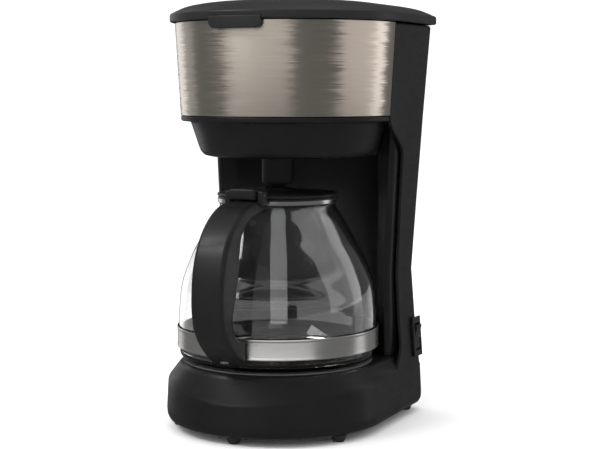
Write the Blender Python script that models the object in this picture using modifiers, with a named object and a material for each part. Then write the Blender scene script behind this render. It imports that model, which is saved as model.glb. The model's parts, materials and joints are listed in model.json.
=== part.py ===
"""Drip coffee maker with a glass jug.

Metres, +Z up. The front faces -Y, and the jug's axis is the Z axis of the scene.
The machine stands on its feet at z = 0.
"""

import math

import bmesh
import bpy
from mathutils import Matrix, Vector

MM = 0.001

# Fits
GAP = 0.3 * MM
WALL = 2.2 * MM
MERGE = 0.01 * MM

# Machine heights
FOOT_TOP = 4.2 * MM
HOUSING_BOTTOM = 4.5 * MM
CREASE_Z = 22.2 * MM
CREASE_RISE = 6.6 * MM
TOP_PLATE_Z = 38.6 * MM
WAIST_Z = 88.0 * MM
HEAD_BOTTOM = 157.4 * MM
LIP_BOTTOM = 178.0 * MM
LIP_TOP = 181.1 * MM
BODY_TOP = 234.3 * MM
LID_BOTTOM = 235.0 * MM
LID_TOP = 248.0 * MM

# Machine plan
HEAD_CENTRE_Y = 15.0 * MM
BASE_RADIUS = 65.2 * MM
TOP_PLATE_RADIUS = 56.8 * MM
LID_RADIUS = 69.5 * MM
LID_REAR_Y = 88.0 * MM
JUG_BAY_RADIUS = 61.0 * MM
WING_FRONT_Y = 32.0 * MM
RECESS_EDGE_Y = 41.0 * MM
HEAD_BACK_Y = 43.7 * MM
SHELL_AT_BAND_Y = 16.8 * MM

# Half width and rear of the rear shell's outer face, at heights from the bottom up
SHELL_PROFILE = (
    (HOUSING_BOTTOM, 63.0 * MM, 79.3 * MM),
    (29.0 * MM, 63.2 * MM, 79.3 * MM),
    (56.0 * MM, 60.9 * MM, 77.0 * MM),
    (WAIST_Z, 59.2 * MM, 74.8 * MM),
    (130.0 * MM, 61.0 * MM, 78.0 * MM),
    (LIP_TOP, 63.5 * MM, 81.7 * MM),
    (235.0 * MM, 66.6 * MM, 85.5 * MM),
)

# Lid hinge
HINGE_Y = 86.0 * MM
HINGE_Z = 237.3 * MM
HINGE_X = 30.0 * MM
HINGE_LUG_WIDTH = 10.0 * MM
HINGE_PIN_RADIUS = 1.0 * MM

# Jug
JUG_FLOOR_Z = 40.6 * MM
JUG_RADIUS = 58.0 * MM
BAND_RADIUS = 59.0 * MM
GLASS = 1.8 * MM
COLLAR_RADIUS = 35.0 * MM
COLLAR_BOTTOM = 130.9 * MM
COLLAR_TOP = 134.8 * MM
JUG_LID_BOTTOM = 135.1 * MM
JUG_LID_TOP = 137.3 * MM
JUG_DOME_TOP = 140.5 * MM
HANDLE_HALF_WIDTH = 9.8 * MM
HANDLE_EDGE = 2.6 * MM

# Water path
PIPE_RADIUS = 3.6 * MM
PIPE_BORE = 2.6 * MM
HOSE_RADIUS = 5.6 * MM
HOSE_BORE = 4.3 * MM
PORT_X = 38.0 * MM
PORT_Y = 62.0 * MM
TANK_BOTTOM = 58.0 * MM
TANK_SHELF = 158.2 * MM
TANK_TOP = 226.0 * MM
TANK_WALL = 1.8 * MM
CHANNEL_ARC = 34.0 * MM
CHANNEL_Z = 34.8 * MM
CHANNEL_END_Y = 35.0 * MM
CHANNEL_END_Z = 29.6 * MM
ELEMENT_ARC = 26.0 * MM
ELEMENT_RADIUS = 3.2 * MM
ELEMENT_Z = 35.1 * MM

# Drip stop
BASKET_FLOOR = 162.0 * MM
OUTLET_CEILING = 158.4 * MM
SKIRT_BOTTOM = 142.4 * MM
SKIRT_RADIUS = 9.2 * MM
SKIRT_BORE = 8.1 * MM
OUTLET_BORE = 3.0 * MM
VALVE_BOTTOM = 141.0 * MM
VALVE_STEM_RADIUS = 2.2 * MM

# Rocker switch, in a frame that leans with the housing's side
SWITCH_CENTRE = Vector((62.0 * MM, 63.8 * MM, 46.6 * MM))
SWITCH_LEAN = math.radians(-4.5)
ROCKER_TILT = math.radians(8.0)

# Fastenings
SCREW_HEAD_RADIUS = 2.8 * MM
SCREW_RADIUS = 1.25 * MM
BOSS_RADIUS = 3.6 * MM
FRONT_BOSS_TOP = 32.0 * MM
REAR_BOSS_TOP = 37.0 * MM
COVER_SCREWS = {
    "front_left": (-40.5 * MM, -38.5 * MM, FRONT_BOSS_TOP),
    "front_right": (40.5 * MM, -38.5 * MM, FRONT_BOSS_TOP),
    "rear_left": (-49.0 * MM, 66.0 * MM, REAR_BOSS_TOP),
    "rear_right": (42.0 * MM, 70.5 * MM, REAR_BOSS_TOP),
}
FEET = {
    "front": (0.0, -56.0 * MM),
    "left": (-51.0 * MM, -27.0 * MM),
    "right": (51.0 * MM, -27.0 * MM),
    "rear_left": (-54.0 * MM, 68.0 * MM),
    "rear_right": (54.0 * MM, 68.0 * MM),
}

FRONT_STEPS = 20
CORNER_STEPS = 3

# Colour, roughness and metallic value of each kind of piece
LOOKS = {
    "black_plastic": ((0.022, 0.022, 0.024), 0.42, 0.0),
    "inner_plastic": ((0.05, 0.05, 0.055), 0.5, 0.0),
    "tank_plastic": ((0.55, 0.56, 0.57), 0.4, 0.0),
    "steel": ((0.62, 0.57, 0.51), 0.3, 1.0),
    "bright_steel": ((0.7, 0.7, 0.7), 0.25, 1.0),
    "aluminium": ((0.75, 0.75, 0.76), 0.4, 1.0),
    "hotplate_coat": ((0.03, 0.03, 0.03), 0.45, 0.3),
    "silicone": ((0.75, 0.73, 0.7), 0.6, 0.0),
    "rubber": ((0.02, 0.02, 0.02), 0.8, 0.0),
    "glass": ((0.85, 0.88, 0.88), 0.03, 0.0),
    "mesh": ((0.35, 0.33, 0.28), 0.6, 0.0),
    "ceramic": ((0.85, 0.83, 0.78), 0.5, 0.0),
    "brass": ((0.7, 0.5, 0.25), 0.35, 1.0),
}


# ---------------------------------------------------------------- scene


def clear_scene():
    for obj in list(bpy.data.objects):
        bpy.data.objects.remove(obj)


def new_collection(name):
    collection = bpy.data.collections.new(name)
    bpy.context.scene.collection.children.link(collection)
    return collection


clear_scene()
PARTS = new_collection("drip_coffee_maker")
CUTTERS = new_collection("cutters")
CUTTERS.hide_render = True


def paint(obj, look):
    colour, roughness, metallic = LOOKS[look]
    made = bpy.data.materials.new(obj.name + "_material")
    made.use_nodes = True
    shader = made.node_tree.nodes["Principled BSDF"]
    shader.inputs["Base Color"].default_value = (*colour, 1.0)
    shader.inputs["Roughness"].default_value = roughness
    shader.inputs["Metallic"].default_value = metallic
    if look == "glass":
        shader.inputs["Transmission Weight"].default_value = 1.0
    obj.data.materials.append(made)
    made.diffuse_color = (*colour, 1.0)


def part(name, data, look):
    obj = bpy.data.objects.new(name, data)
    PARTS.objects.link(obj)
    paint(obj, look)
    return obj


def helper(name, data):
    """A cutter, or a shape that a Boolean joins to a part."""
    obj = bpy.data.objects.new(name, data)
    CUTTERS.objects.link(obj)
    obj.hide_render = True
    obj.display_type = "WIRE"
    return obj


# ---------------------------------------------------------------- meshes


def to_mesh(bm, name, smooth=True):
    bmesh.ops.recalc_face_normals(bm, faces=bm.faces)
    mesh = bpy.data.meshes.new(name)
    bm.to_mesh(mesh)
    bm.free()
    if smooth:
        mesh.shade_smooth()
        mesh.set_sharp_from_angle(angle=math.radians(35))
    return mesh


def box_mesh(name, low, high):
    bm = bmesh.new()
    size = Vector(high) - Vector(low)
    middle = (Vector(high) + Vector(low)) / 2
    bmesh.ops.create_cube(bm, size=1.0, matrix=Matrix.Translation(middle) @ Matrix.Diagonal((*size, 1.0)))
    return to_mesh(bm, name, smooth=False)


def cone_mesh(name, base, radius_low, radius_high, height, sides=24, turn=None):
    """A cylinder or cone that stands on base, or lies along the axis that turn gives it."""
    bm = bmesh.new()
    turn = turn or Matrix.Identity(4)
    place = Matrix.Translation(base) @ turn @ Matrix.Translation((0, 0, height / 2))
    bmesh.ops.create_cone(
        bm,
        cap_ends=True,
        segments=sides,
        radius1=radius_low,
        radius2=radius_high,
        depth=height,
        matrix=place,
    )
    return to_mesh(bm, name)


def cylinder_mesh(name, base, radius, height, sides=24, turn=None):
    return cone_mesh(name, base, radius, radius, height, sides, turn)


def many_mesh(name, meshes):
    """Several separate shapes in one mesh, for one Boolean."""
    bm = bmesh.new()
    for mesh in meshes:
        bm.from_mesh(mesh)
    return to_mesh(bm, name)


ALONG_X = Matrix.Rotation(math.radians(90), 4, "Y")
ALONG_Y = Matrix.Rotation(math.radians(-90), 4, "X")


def loft_mesh(name, rings, closed=False):
    """Walls between successive rings of points, with both end rings filled unless the loft is closed."""
    bm = bmesh.new()
    rows = [[bm.verts.new(point) for point in ring] for ring in rings]
    pairs = list(zip(rows, rows[1:]))
    if closed:
        pairs.append((rows[-1], rows[0]))
    for low, high in pairs:
        for i in range(len(low)):
            j = (i + 1) % len(low)
            bm.faces.new((low[i], low[j], high[j], high[i]))
    if not closed:
        bm.faces.new(list(reversed(rows[0])))
        bm.faces.new(rows[-1])
    return to_mesh(bm, name)


def sheet_mesh(name, rows):
    """An open surface through rows of points, lowest first, each counter-clockwise seen from above."""
    bm = bmesh.new()
    grid = [[bm.verts.new(point) for point in row] for row in rows]
    for low, high in zip(grid, grid[1:]):
        for i in range(len(low) - 1):
            bm.faces.new((low[i], low[i + 1], high[i + 1], high[i]))
    mesh = bpy.data.meshes.new(name)
    bm.to_mesh(mesh)
    bm.free()
    mesh.shade_smooth()
    mesh.set_sharp_from_angle(angle=math.radians(35))
    return mesh


def profile_mesh(name, points, closed):
    """A profile in the XZ plane: its outer side runs from the top down."""
    mesh = bpy.data.meshes.new(name)
    edges = [(i, i + 1) for i in range(len(points) - 1)]
    if closed:
        edges.append((len(points) - 1, 0))
    mesh.from_pydata([(radius, 0.0, z) for radius, z in points], edges, [])
    return mesh


# ---------------------------------------------------------------- modifiers


def thicken(obj, thickness):
    solid = obj.modifiers.new("thickness", "SOLIDIFY")
    solid.thickness = thickness
    solid.offset = -1.0
    solid.use_even_offset = True
    solid.use_rim = True


def turn_profile(obj, steps):
    screw = obj.modifiers.new("turn", "SCREW")
    screw.axis = "Z"
    screw.angle = math.tau
    screw.steps = steps
    screw.render_steps = steps
    screw.use_merge_vertices = True
    screw.merge_threshold = MERGE
    screw.use_smooth_shade = True


def boolean(obj, other, operation):
    modifier = obj.modifiers.new(operation.lower(), "BOOLEAN")
    modifier.operation = operation
    modifier.solver = "EXACT"
    modifier.object = other


def cut(obj, name, mesh):
    boolean(obj, helper(name, mesh), "DIFFERENCE")


def join(obj, name, mesh):
    boolean(obj, helper(name, mesh), "UNION")


def round_edges(obj, width, segments=2, angle=50):
    bevel = obj.modifiers.new("edges", "BEVEL")
    bevel.width = width
    bevel.segments = segments
    bevel.limit_method = "ANGLE"
    bevel.angle_limit = math.radians(angle)


def turned(name, profile, look, closed=True, steps=32, place=(0.0, 0.0, 0.0)):
    obj = part(name, profile_mesh(name, profile, closed), look)
    turn_profile(obj, steps)
    obj.location = place
    return obj


def turned_helper(name, profile, closed=True, steps=32, place=(0.0, 0.0, 0.0)):
    obj = helper(name, profile_mesh(name, profile, closed))
    turn_profile(obj, steps)
    obj.location = place
    return obj


# ---------------------------------------------------------------- curves


def curve_data(name, points, radius, sides_step=2):
    data = bpy.data.curves.new(name, "CURVE")
    data.dimensions = "3D"
    spline = data.splines.new("POLY")
    spline.points.add(len(points) - 1)
    for target, point in zip(spline.points, points):
        target.co = (*point, 1.0)
    data.bevel_depth = radius
    data.bevel_resolution = sides_step
    data.use_fill_caps = True
    return data


def curve_mesh(name, data):
    """The closed mesh of a curve, whose caps are joined to its sides."""
    guide = bpy.data.objects.new(name, data)
    CUTTERS.objects.link(guide)
    graph = bpy.context.evaluated_depsgraph_get()
    mesh = bpy.data.meshes.new_from_object(guide.evaluated_get(graph))
    bpy.data.objects.remove(guide)
    bm = bmesh.new()
    bm.from_mesh(mesh)
    bmesh.ops.remove_doubles(bm, verts=bm.verts, dist=MERGE)
    return to_mesh(bm, name)


def through(points, steps):
    """Points along a smooth curve through the given ones."""
    points = [Vector(point) for point in points]
    ends = [2 * points[0] - points[1]] + points + [2 * points[-1] - points[-2]]
    found = [points[0]]
    for before, start, end, after in zip(ends, ends[1:], ends[2:], ends[3:]):
        for step in range(1, steps + 1):
            t = step / steps
            found.append(
                0.5
                * (
                    2 * start
                    + (end - before) * t
                    + (2 * before - 5 * start + 4 * end - after) * t**2
                    + (3 * start - before - 3 * end + after) * t**3
                )
            )
    return found


def extended(points, by):
    """The same line, longer by a straight length at both ends."""
    first = points[0] + (points[0] - points[1]).normalized() * by
    last = points[-1] + (points[-1] - points[-2]).normalized() * by
    return [first] + list(points) + [last]


def pipe(name, points, radius, bore, look):
    obj = part(name, curve_mesh(name, curve_data(name, points, radius)), look)
    cut(obj, name + "_bore", curve_mesh(name + "_bore", curve_data(name, extended(points, 2 * MM), bore)))
    return obj


# ---------------------------------------------------------------- outlines


def blend(low, high, t):
    return low + (high - low) * t


def smooth_step(t):
    t = min(max(t, 0.0), 1.0)
    return t * t * (3 - 2 * t)


def shell_size(z):
    """Half width and rear face of the rear shell at a height."""
    for low, high in zip(SHELL_PROFILE, SHELL_PROFILE[1:]):
        if z <= high[0]:
            break
    t = (z - low[0]) / (high[0] - low[0])
    return blend(low[1], high[1], t), blend(low[2], high[2], t)


def arc(centre, radius, start, end, steps):
    """Points of a plan arc, as (x, y)."""
    turns = [blend(start, end, i / steps) for i in range(steps + 1)]
    return [(centre[0] + radius * math.cos(a), centre[1] + radius * math.sin(a)) for a in turns]


def rear_points(half_width, rear_y, corner):
    """The two rear corners of a plan, from the right to the left."""
    right = arc((half_width - corner, rear_y - corner), corner, 0.0, math.pi / 2, CORNER_STEPS)
    left = [(-x, y) for x, y in reversed(right)]
    return right + left


def plan(radius, centre_y, half_width, rear_y, corner):
    """A closed plan: a half-round front, straight sides and two rear corners."""
    front = arc((0.0, centre_y), radius, math.pi, math.tau, FRONT_STEPS)
    return front + rear_points(half_width, rear_y, corner)


def at_height(points, z):
    return [(x, y, z) for x, y in points]


def risen(points, z):
    """The plan at the crease's height, which is lowest at the front and climbs round the sides."""
    found = []
    for x, y in points:
        turn = min(abs(math.atan2(x, -y)), math.pi / 2)
        found.append((x, y, z + CREASE_RISE * math.sin(turn) ** 1.4))
    return found


# ---------------------------------------------------------------- housing


def base_rings():
    outer = [
        at_height(plan(61.8 * MM, 0, 60.6 * MM, 76.9 * MM, 13 * MM), HOUSING_BOTTOM),
        at_height(plan(63.8 * MM, 0, 62.8 * MM, 79.1 * MM, 14 * MM), 5.6 * MM),
        at_height(plan(64.9 * MM, 0, 63.9 * MM, 80.2 * MM, 14 * MM), 8.0 * MM),
        at_height(plan(BASE_RADIUS, 0, 64.1 * MM, 80.4 * MM, 14 * MM), 11.0 * MM),
        risen(plan(64.4 * MM, 0, 63.5 * MM, 79.6 * MM, 14 * MM), CREASE_Z),
        risen(plan(63.7 * MM, 0, 62.9 * MM, 79.0 * MM, 14 * MM), CREASE_Z + 1.5 * MM),
        at_height(plan(58.6 * MM, 0, 59.0 * MM, 75.0 * MM, 12 * MM), 36.4 * MM),
        at_height(plan(57.4 * MM, 0, 58.2 * MM, 74.2 * MM, 12 * MM), 37.9 * MM),
        at_height(plan(TOP_PLATE_RADIUS - 1 * MM, 0, 57.0 * MM, 73.4 * MM, 12 * MM), TOP_PLATE_Z),
    ]
    inner = [
        at_height(plan(54.6 * MM, 0, 55.6 * MM, 71.6 * MM, 10 * MM), TOP_PLATE_Z - 2.4 * MM),
        risen(plan(61.6 * MM, 0, 60.6 * MM, 76.6 * MM, 12 * MM), CREASE_Z - 1.0 * MM),
        at_height(plan(62.6 * MM, 0, 61.4 * MM, 77.6 * MM, 12 * MM), 11.0 * MM),
        at_height(plan(60.2 * MM, 0, 59.0 * MM, 75.3 * MM, 11.5 * MM), HOUSING_BOTTOM),
    ]
    return inner + outer


def shell_front(z):
    """How far forward the rear shell reaches: to the V below, along the recess, to the steel band above."""
    low = blend(WING_FRONT_Y, RECESS_EDGE_Y, smooth_step((z - 29 * MM) / (16 * MM)))
    high = blend(0.0, RECESS_EDGE_Y - SHELL_AT_BAND_Y, smooth_step((z - 157 * MM) / (24 * MM)))
    return low - high


def shell_row(z, inset=0.0):
    half_width, rear_y = shell_size(z)
    half_width -= inset
    rear_y -= inset
    corner = 14 * MM
    front_y = shell_front(z)
    side_steps = 3
    run = rear_y - corner - front_y
    right = [(half_width, front_y + run * i / side_steps) for i in range(side_steps)]
    left = [(-x, y) for x, y in reversed(right)]
    return at_height(right + rear_points(half_width, rear_y, corner) + left, z)


def rear_shell_mesh():
    heights = [29.6, 34, 40, 45, 56, 88, 130, 157, 163, 168, 173, 178, 181]
    rows = [shell_row(24 * MM, inset=0.5 * MM)]
    rows += [shell_row(height * MM) for height in heights]
    rows.append(shell_row(BODY_TOP))
    return sheet_mesh("rear_shell", rows)


def hinge_lug_mesh(side):
    """A lug on the rear wall that carries the lid's pin."""
    eye = 1.9 * MM
    low_x = side * HINGE_X - HINGE_LUG_WIDTH / 2
    stem = box_mesh(
        "lug_stem",
        (low_x, HINGE_Y - 2.3 * MM, BODY_TOP - 6 * MM),
        (low_x + HINGE_LUG_WIDTH, HINGE_Y - 0.6 * MM, HINGE_Z),
    )
    eye_place = (low_x - 0.1 * MM, HINGE_Y, HINGE_Z)
    eye_mesh = cylinder_mesh("lug_eye", eye_place, eye, HINGE_LUG_WIDTH + 0.2 * MM, 16, ALONG_X)
    return stem, eye_mesh


def main_housing():
    obj = part("main_housing", loft_mesh("main_housing", base_rings()), "black_plastic")
    shell = helper("rear_shell", rear_shell_mesh())
    thicken(shell, WALL)
    boolean(obj, shell, "UNION")
    for side, name in ((-1, "left"), (1, "right")):
        stem, eye = hinge_lug_mesh(side)
        join(obj, "hinge_stem_" + name, stem)
        join(obj, "hinge_eye_" + name, eye)
    bosses = [
        cylinder_mesh("boss", (x, y, 8 * MM), BOSS_RADIUS, boss_top - 8 * MM, 12)
        for x, y, boss_top in COVER_SCREWS.values()
    ]
    join(obj, "bosses", many_mesh("bosses", bosses))
    bores = [
        cylinder_mesh("boss_bore", (x, y, 7 * MM), SCREW_RADIUS + 0.25 * MM, 14 * MM, 10)
        for x, y, _ in COVER_SCREWS.values()
    ]
    cut(obj, "boss_bores", many_mesh("boss_bores", bores))
    cut(obj, "hotplate_opening", cylinder_mesh("opening", (0, 0, 30 * MM), 54.4 * MM, 12 * MM, 36))
    ports = [
        cylinder_mesh("port", (side * PORT_X, PORT_Y - 1.5 * MM, 30 * MM), 8.2 * MM, 12 * MM)
        for side in (-1, 1)
    ]
    cut(obj, "hose_ports", many_mesh("hose_ports", ports))
    pin_bores = []
    for side in (-1, 1):
        start = (side * HINGE_X - 9 * MM, HINGE_Y, HINGE_Z)
        pin_bores.append(cylinder_mesh("pin_bore", start, 1.25 * MM, 18 * MM, 12, ALONG_X))
    cut(obj, "hinge_bores", many_mesh("hinge_bores", pin_bores))
    opening_start = (-35 * MM, 70 * MM, 16 * MM)
    cord_opening = cylinder_mesh("cord_opening", opening_start, 5.4 * MM, 16 * MM, 20, ALONG_Y)
    cut(obj, "cord_opening", cord_opening)
    window_mesh = box_mesh("window", (-16 * MM, -5.8 * MM, -10.2 * MM), (4 * MM, 5.8 * MM, 10.2 * MM))
    window = helper("switch_window", window_mesh)
    window.matrix_world = switch_frame()
    boolean(obj, window, "DIFFERENCE")
    return obj


def bottom_cover():
    low = HOUSING_BOTTOM
    outline = plan(59.7 * MM, 0, 58.5 * MM, 74.8 * MM, 11 * MM)
    rings = [at_height(outline, low), at_height(outline, low + 2.2 * MM)]
    obj = part("bottom_cover", loft_mesh("bottom_cover", rings), "black_plastic")
    holes = [
        cylinder_mesh("hole", (x, y, 0), SCREW_RADIUS + GAP, 12 * MM, 10)
        for x, y, _ in COVER_SCREWS.values()
    ]
    sinks = [
        cylinder_mesh("sink", (x, y, 3 * MM), SCREW_HEAD_RADIUS + GAP, 2.8 * MM, 14)
        for x, y, _ in COVER_SCREWS.values()
    ]
    cut(obj, "cover_holes", many_mesh("cover_holes", holes))
    cut(obj, "cover_sinks", many_mesh("cover_sinks", sinks))
    slots = [
        box_mesh("slot", (-16 * MM, y * MM - 1.2 * MM, 0), (16 * MM, y * MM + 1.2 * MM, 12 * MM))
        for y in range(-24, 30, 8)
    ]
    cut(obj, "vent_slots", many_mesh("vent_slots", slots))
    return obj


def feet():
    for place, (x, y) in FEET.items():
        mesh = cone_mesh("foot_" + place, (x, y, 0), 3.0 * MM, 4.5 * MM, FOOT_TOP, 20)
        part("foot_" + place, mesh, "rubber")


def cover_screws():
    head_low = 4.9 * MM
    head_high = 5.5 * MM
    for place, (x, y, _) in COVER_SCREWS.items():
        profile = [
            (0.0, 19 * MM),
            (SCREW_RADIUS, 19 * MM),
            (SCREW_RADIUS, head_high),
            (SCREW_HEAD_RADIUS, head_high),
            (SCREW_HEAD_RADIUS, head_low),
            (0.0, head_low),
        ]
        turned("cover_screw_" + place, profile, "bright_steel", closed=False, steps=10, place=(x, y, 0))


# ---------------------------------------------------------------- column


def column_line(z):
    """The column's front in plan, from the right side strip over the wings and the hollow to the left."""
    side = {39: 57.0, 56: 57.2, 88: 56.4, 130: 58.2, 178: 60.4}
    heights = sorted(side)
    for low, high in zip(heights, heights[1:]):
        if z <= high * MM:
            break
    t = (z / MM - low) / (high - low)
    strip_x = blend(side[low], side[high], t) * MM
    wing = [(0.0, 6.0), (-0.4, 3.9), (-1.7, 2.3), (-3.4, 1.8)]
    hollow_edge = Vector((47.0, 38.9))
    hollow_start = math.atan2(hollow_edge.y, hollow_edge.x)
    hollow = arc((0, 0), JUG_BAY_RADIUS, hollow_start, math.pi - hollow_start, 16)
    right = [(strip_x, 48 * MM)] + [(strip_x + x * MM, WING_FRONT_Y + y * MM) for x, y in wing]
    left = [(-x, y) for x, y in reversed(right)]
    return at_height(right + hollow + left, z)


def column_panel():
    heights = [TOP_PLATE_Z + GAP, 56 * MM, WAIST_Z, 130 * MM, LIP_BOTTOM - GAP]
    rows = [list(reversed(column_line(z))) for z in heights]
    obj = part("column_panel", sheet_mesh("column_panel", rows), "black_plastic")
    thicken(obj, WALL)
    clear = 0.5 * MM
    pot = []
    for radius, z in ((50.6, 157.1), (52.0, 160.4), (53.2, 163.5), (58.2, 177.8), (58.6, 184.0)):
        reach = radius * MM + clear
        pot.append(at_height(head_plan(reach, reach, 80 * MM), z * MM))
    cut(obj, "pot_clearance", loft_mesh("pot_clearance", pot))
    behind = box_mesh("hollow_top", (-49 * MM, 40 * MM, HEAD_BOTTOM - GAP), (49 * MM, 70 * MM, 190 * MM))
    cut(obj, "hollow_top", behind)
    return obj


# ---------------------------------------------------------------- brew head


def head_plan(front_radius, back_radius, back_y):
    """A round pot with a flat back. The radius may differ ahead of its centre and behind it."""
    lean = math.asin(min((back_y - HEAD_CENTRE_Y) / back_radius, 0.98))
    centre = (0.0, HEAD_CENTRE_Y)
    back_steps = 6
    left = arc(centre, back_radius, math.pi - lean, math.pi - 0.02, back_steps)
    front = arc(centre, front_radius, math.pi, math.tau, FRONT_STEPS)
    right = arc(centre, back_radius, math.tau + 0.02, math.tau + lean, back_steps)
    return left + front + right


def brew_head():
    back = HEAD_BACK_Y
    outer = [
        at_height(head_plan(46.0 * MM, 46.0 * MM, back), HEAD_BOTTOM),
        at_height(head_plan(49.6 * MM, 49.6 * MM, back), 158.2 * MM),
        at_height(head_plan(51.8 * MM, 51.8 * MM, back), 160.4 * MM),
        at_height(head_plan(53.0 * MM, 53.0 * MM, back), 163.5 * MM),
        at_height(head_plan(57.4 * MM, 57.4 * MM, back), LIP_BOTTOM - 1.2 * MM),
        at_height(head_plan(58.2 * MM, 57.8 * MM, back), LIP_BOTTOM - 0.2 * MM),
        at_height(head_plan(62.6 * MM, 58.0 * MM, back), LIP_BOTTOM),
        at_height(head_plan(63.3 * MM, 58.6 * MM, back), LIP_BOTTOM + 0.8 * MM),
        at_height(head_plan(63.3 * MM, 60.3 * MM, back), LIP_TOP - 0.2 * MM),
        at_height(head_plan(62.9 * MM, 60.5 * MM, back), LIP_TOP),
        at_height(head_plan(60.6 * MM, 60.6 * MM, back), LIP_TOP + 0.1 * MM),
        at_height(head_plan(63.6 * MM, 63.6 * MM, back), BODY_TOP),
    ]
    back -= 2.0 * MM
    inner = [
        at_height(head_plan(61.6 * MM, 61.6 * MM, back), BODY_TOP),
        at_height(head_plan(58.5 * MM, 58.5 * MM, back), LIP_TOP + 0.5 * MM),
        at_height(head_plan(55.2 * MM, 55.2 * MM, back), LIP_BOTTOM - 2 * MM),
        at_height(head_plan(50.4 * MM, 50.4 * MM, back), 162.5 * MM),
        at_height(head_plan(47.4 * MM, 47.4 * MM, back), HEAD_BOTTOM + 2.5 * MM),
    ]
    obj = part("brew_head", loft_mesh("brew_head", outer + inner), "black_plastic")
    cut(obj, "drip_opening", cylinder_mesh("drip_opening", (0, 0, 150 * MM), 13 * MM, 16 * MM))
    notch = box_mesh("spout_notch", (4 * MM, 38 * MM, 226.4 * MM), (40 * MM, 48 * MM, 240 * MM))
    cut(obj, "spout_notch", notch)
    return obj


def steel_band():
    centre = (0.0, HEAD_CENTRE_Y)
    low = LIP_TOP + GAP
    rows = []
    for radius, z in ((63.4 * MM, low), (66.55 * MM, LID_BOTTOM - 0.4 * MM)):
        front = arc(centre, radius, math.pi, math.tau, FRONT_STEPS)
        end_y = HEAD_CENTRE_Y + 1.4 * MM
        rows.append(at_height([(-radius, end_y)] + front + [(radius, end_y)], z))
    obj = part("steel_band", sheet_mesh("steel_band", rows), "steel")
    thicken(obj, 0.8 * MM)
    return obj


# ---------------------------------------------------------------- lid


def lid_ring(inset, z):
    radius = LID_RADIUS - inset
    corner = 15 * MM - inset * 0.7
    return at_height(plan(radius, HEAD_CENTRE_Y, radius, LID_REAR_Y - inset, corner), z)


def lid_dome_ring(scale, z, drop=0.0):
    middle_y = 20 * MM
    points = plan(LID_RADIUS, HEAD_CENTRE_Y, LID_RADIUS, LID_REAR_Y, 15 * MM)
    return [(x * scale, middle_y + (y - middle_y) * scale, z - drop) for x, y in points]


def lid_inner_ring(inset, rear_y, z):
    radius = LID_RADIUS - inset
    return at_height(plan(radius, HEAD_CENTRE_Y, radius, rear_y, 11 * MM), z)


def lid_tab_mesh():
    """The lift tab: a strip that follows the rim's front and hangs below it, with round lower corners."""
    half_turn = math.radians(13.0)
    steps = 10
    corner = 0.2
    sections = []
    for i in range(steps + 1):
        along = -1 + 2 * i / steps
        beyond = max(abs(along) - (1 - corner), 0.0) / corner
        low = blend(229.8 * MM, 232.6 * MM, 1 - math.sqrt(1 - min(beyond, 0.98) ** 2))
        turn = -math.pi / 2 + half_turn * along
        section = []
        outline = [(68.0, low), (70.4, low), (71.0, low + 0.8 * MM), (71.0, 236.6 * MM), (68.0, 236.6 * MM)]
        for radius, z in outline:
            x = radius * MM * math.cos(turn)
            section.append((x, HEAD_CENTRE_Y + radius * MM * math.sin(turn), z))
        sections.append(section)
    return loft_mesh("lid_tab", sections)


def lid():
    outer = [
        lid_ring(0.7 * MM, LID_BOTTOM),
        lid_ring(0.0, LID_BOTTOM + 0.6 * MM),
        lid_ring(0.0, LID_BOTTOM + 4.2 * MM),
        lid_ring(0.6 * MM, LID_BOTTOM + 5.0 * MM),
        lid_dome_ring(0.95, 241.4 * MM),
        lid_dome_ring(0.86, 244.0 * MM),
        lid_dome_ring(0.70, 246.1 * MM),
        lid_dome_ring(0.48, 247.4 * MM),
        lid_dome_ring(0.22, LID_TOP),
    ]
    inner = [
        lid_dome_ring(0.20, LID_TOP, 2.4 * MM),
        lid_dome_ring(0.44, 247.2 * MM, 2.4 * MM),
        lid_dome_ring(0.66, 245.6 * MM, 2.6 * MM),
        lid_inner_ring(8 * MM, 76.5 * MM, 240.6 * MM),
        lid_inner_ring(2.6 * MM, 79 * MM, LID_BOTTOM + 3.2 * MM),
        lid_inner_ring(2.4 * MM, 79 * MM, LID_BOTTOM),
    ]
    obj = part("lid", loft_mesh("lid", inner + outer), "black_plastic")
    join(obj, "lid_tab", lid_tab_mesh())
    half_pocket = HINGE_LUG_WIDTH / 2 + 0.6 * MM
    pockets = [
        box_mesh(
            "pocket",
            (side * HINGE_X - half_pocket, 83 * MM, 234 * MM),
            (side * HINGE_X + half_pocket, 92 * MM, 246 * MM),
        )
        for side in (-1, 1)
    ]
    cut(obj, "hinge_pockets", many_mesh("hinge_pockets", pockets))
    bores = []
    for side in (-1, 1):
        start = (side * HINGE_X - 11 * MM, HINGE_Y, HINGE_Z)
        bores.append(cylinder_mesh("bore", start, 1.3 * MM, 22 * MM, 12, ALONG_X))
    cut(obj, "lid_pin_bores", many_mesh("lid_pin_bores", bores))
    set_origin(obj, Vector((0.0, HINGE_Y, HINGE_Z)))
    return obj


def set_origin(obj, point):
    """Moves an object's origin to a point on its joint's axis, with its shape left where it is."""
    obj.data.transform(Matrix.Translation(-point))
    obj.matrix_world = Matrix.Translation(point)


def hinge_pins():
    for side, name in ((-1, "left"), (1, "right")):
        base = (side * HINGE_X - 10.5 * MM, HINGE_Y, HINGE_Z)
        mesh = cylinder_mesh("hinge_pin_" + name, base, HINGE_PIN_RADIUS, 21 * MM, 12, ALONG_X)
        part("hinge_pin_" + name, mesh, "bright_steel")


# ---------------------------------------------------------------- tank and water path


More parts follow.
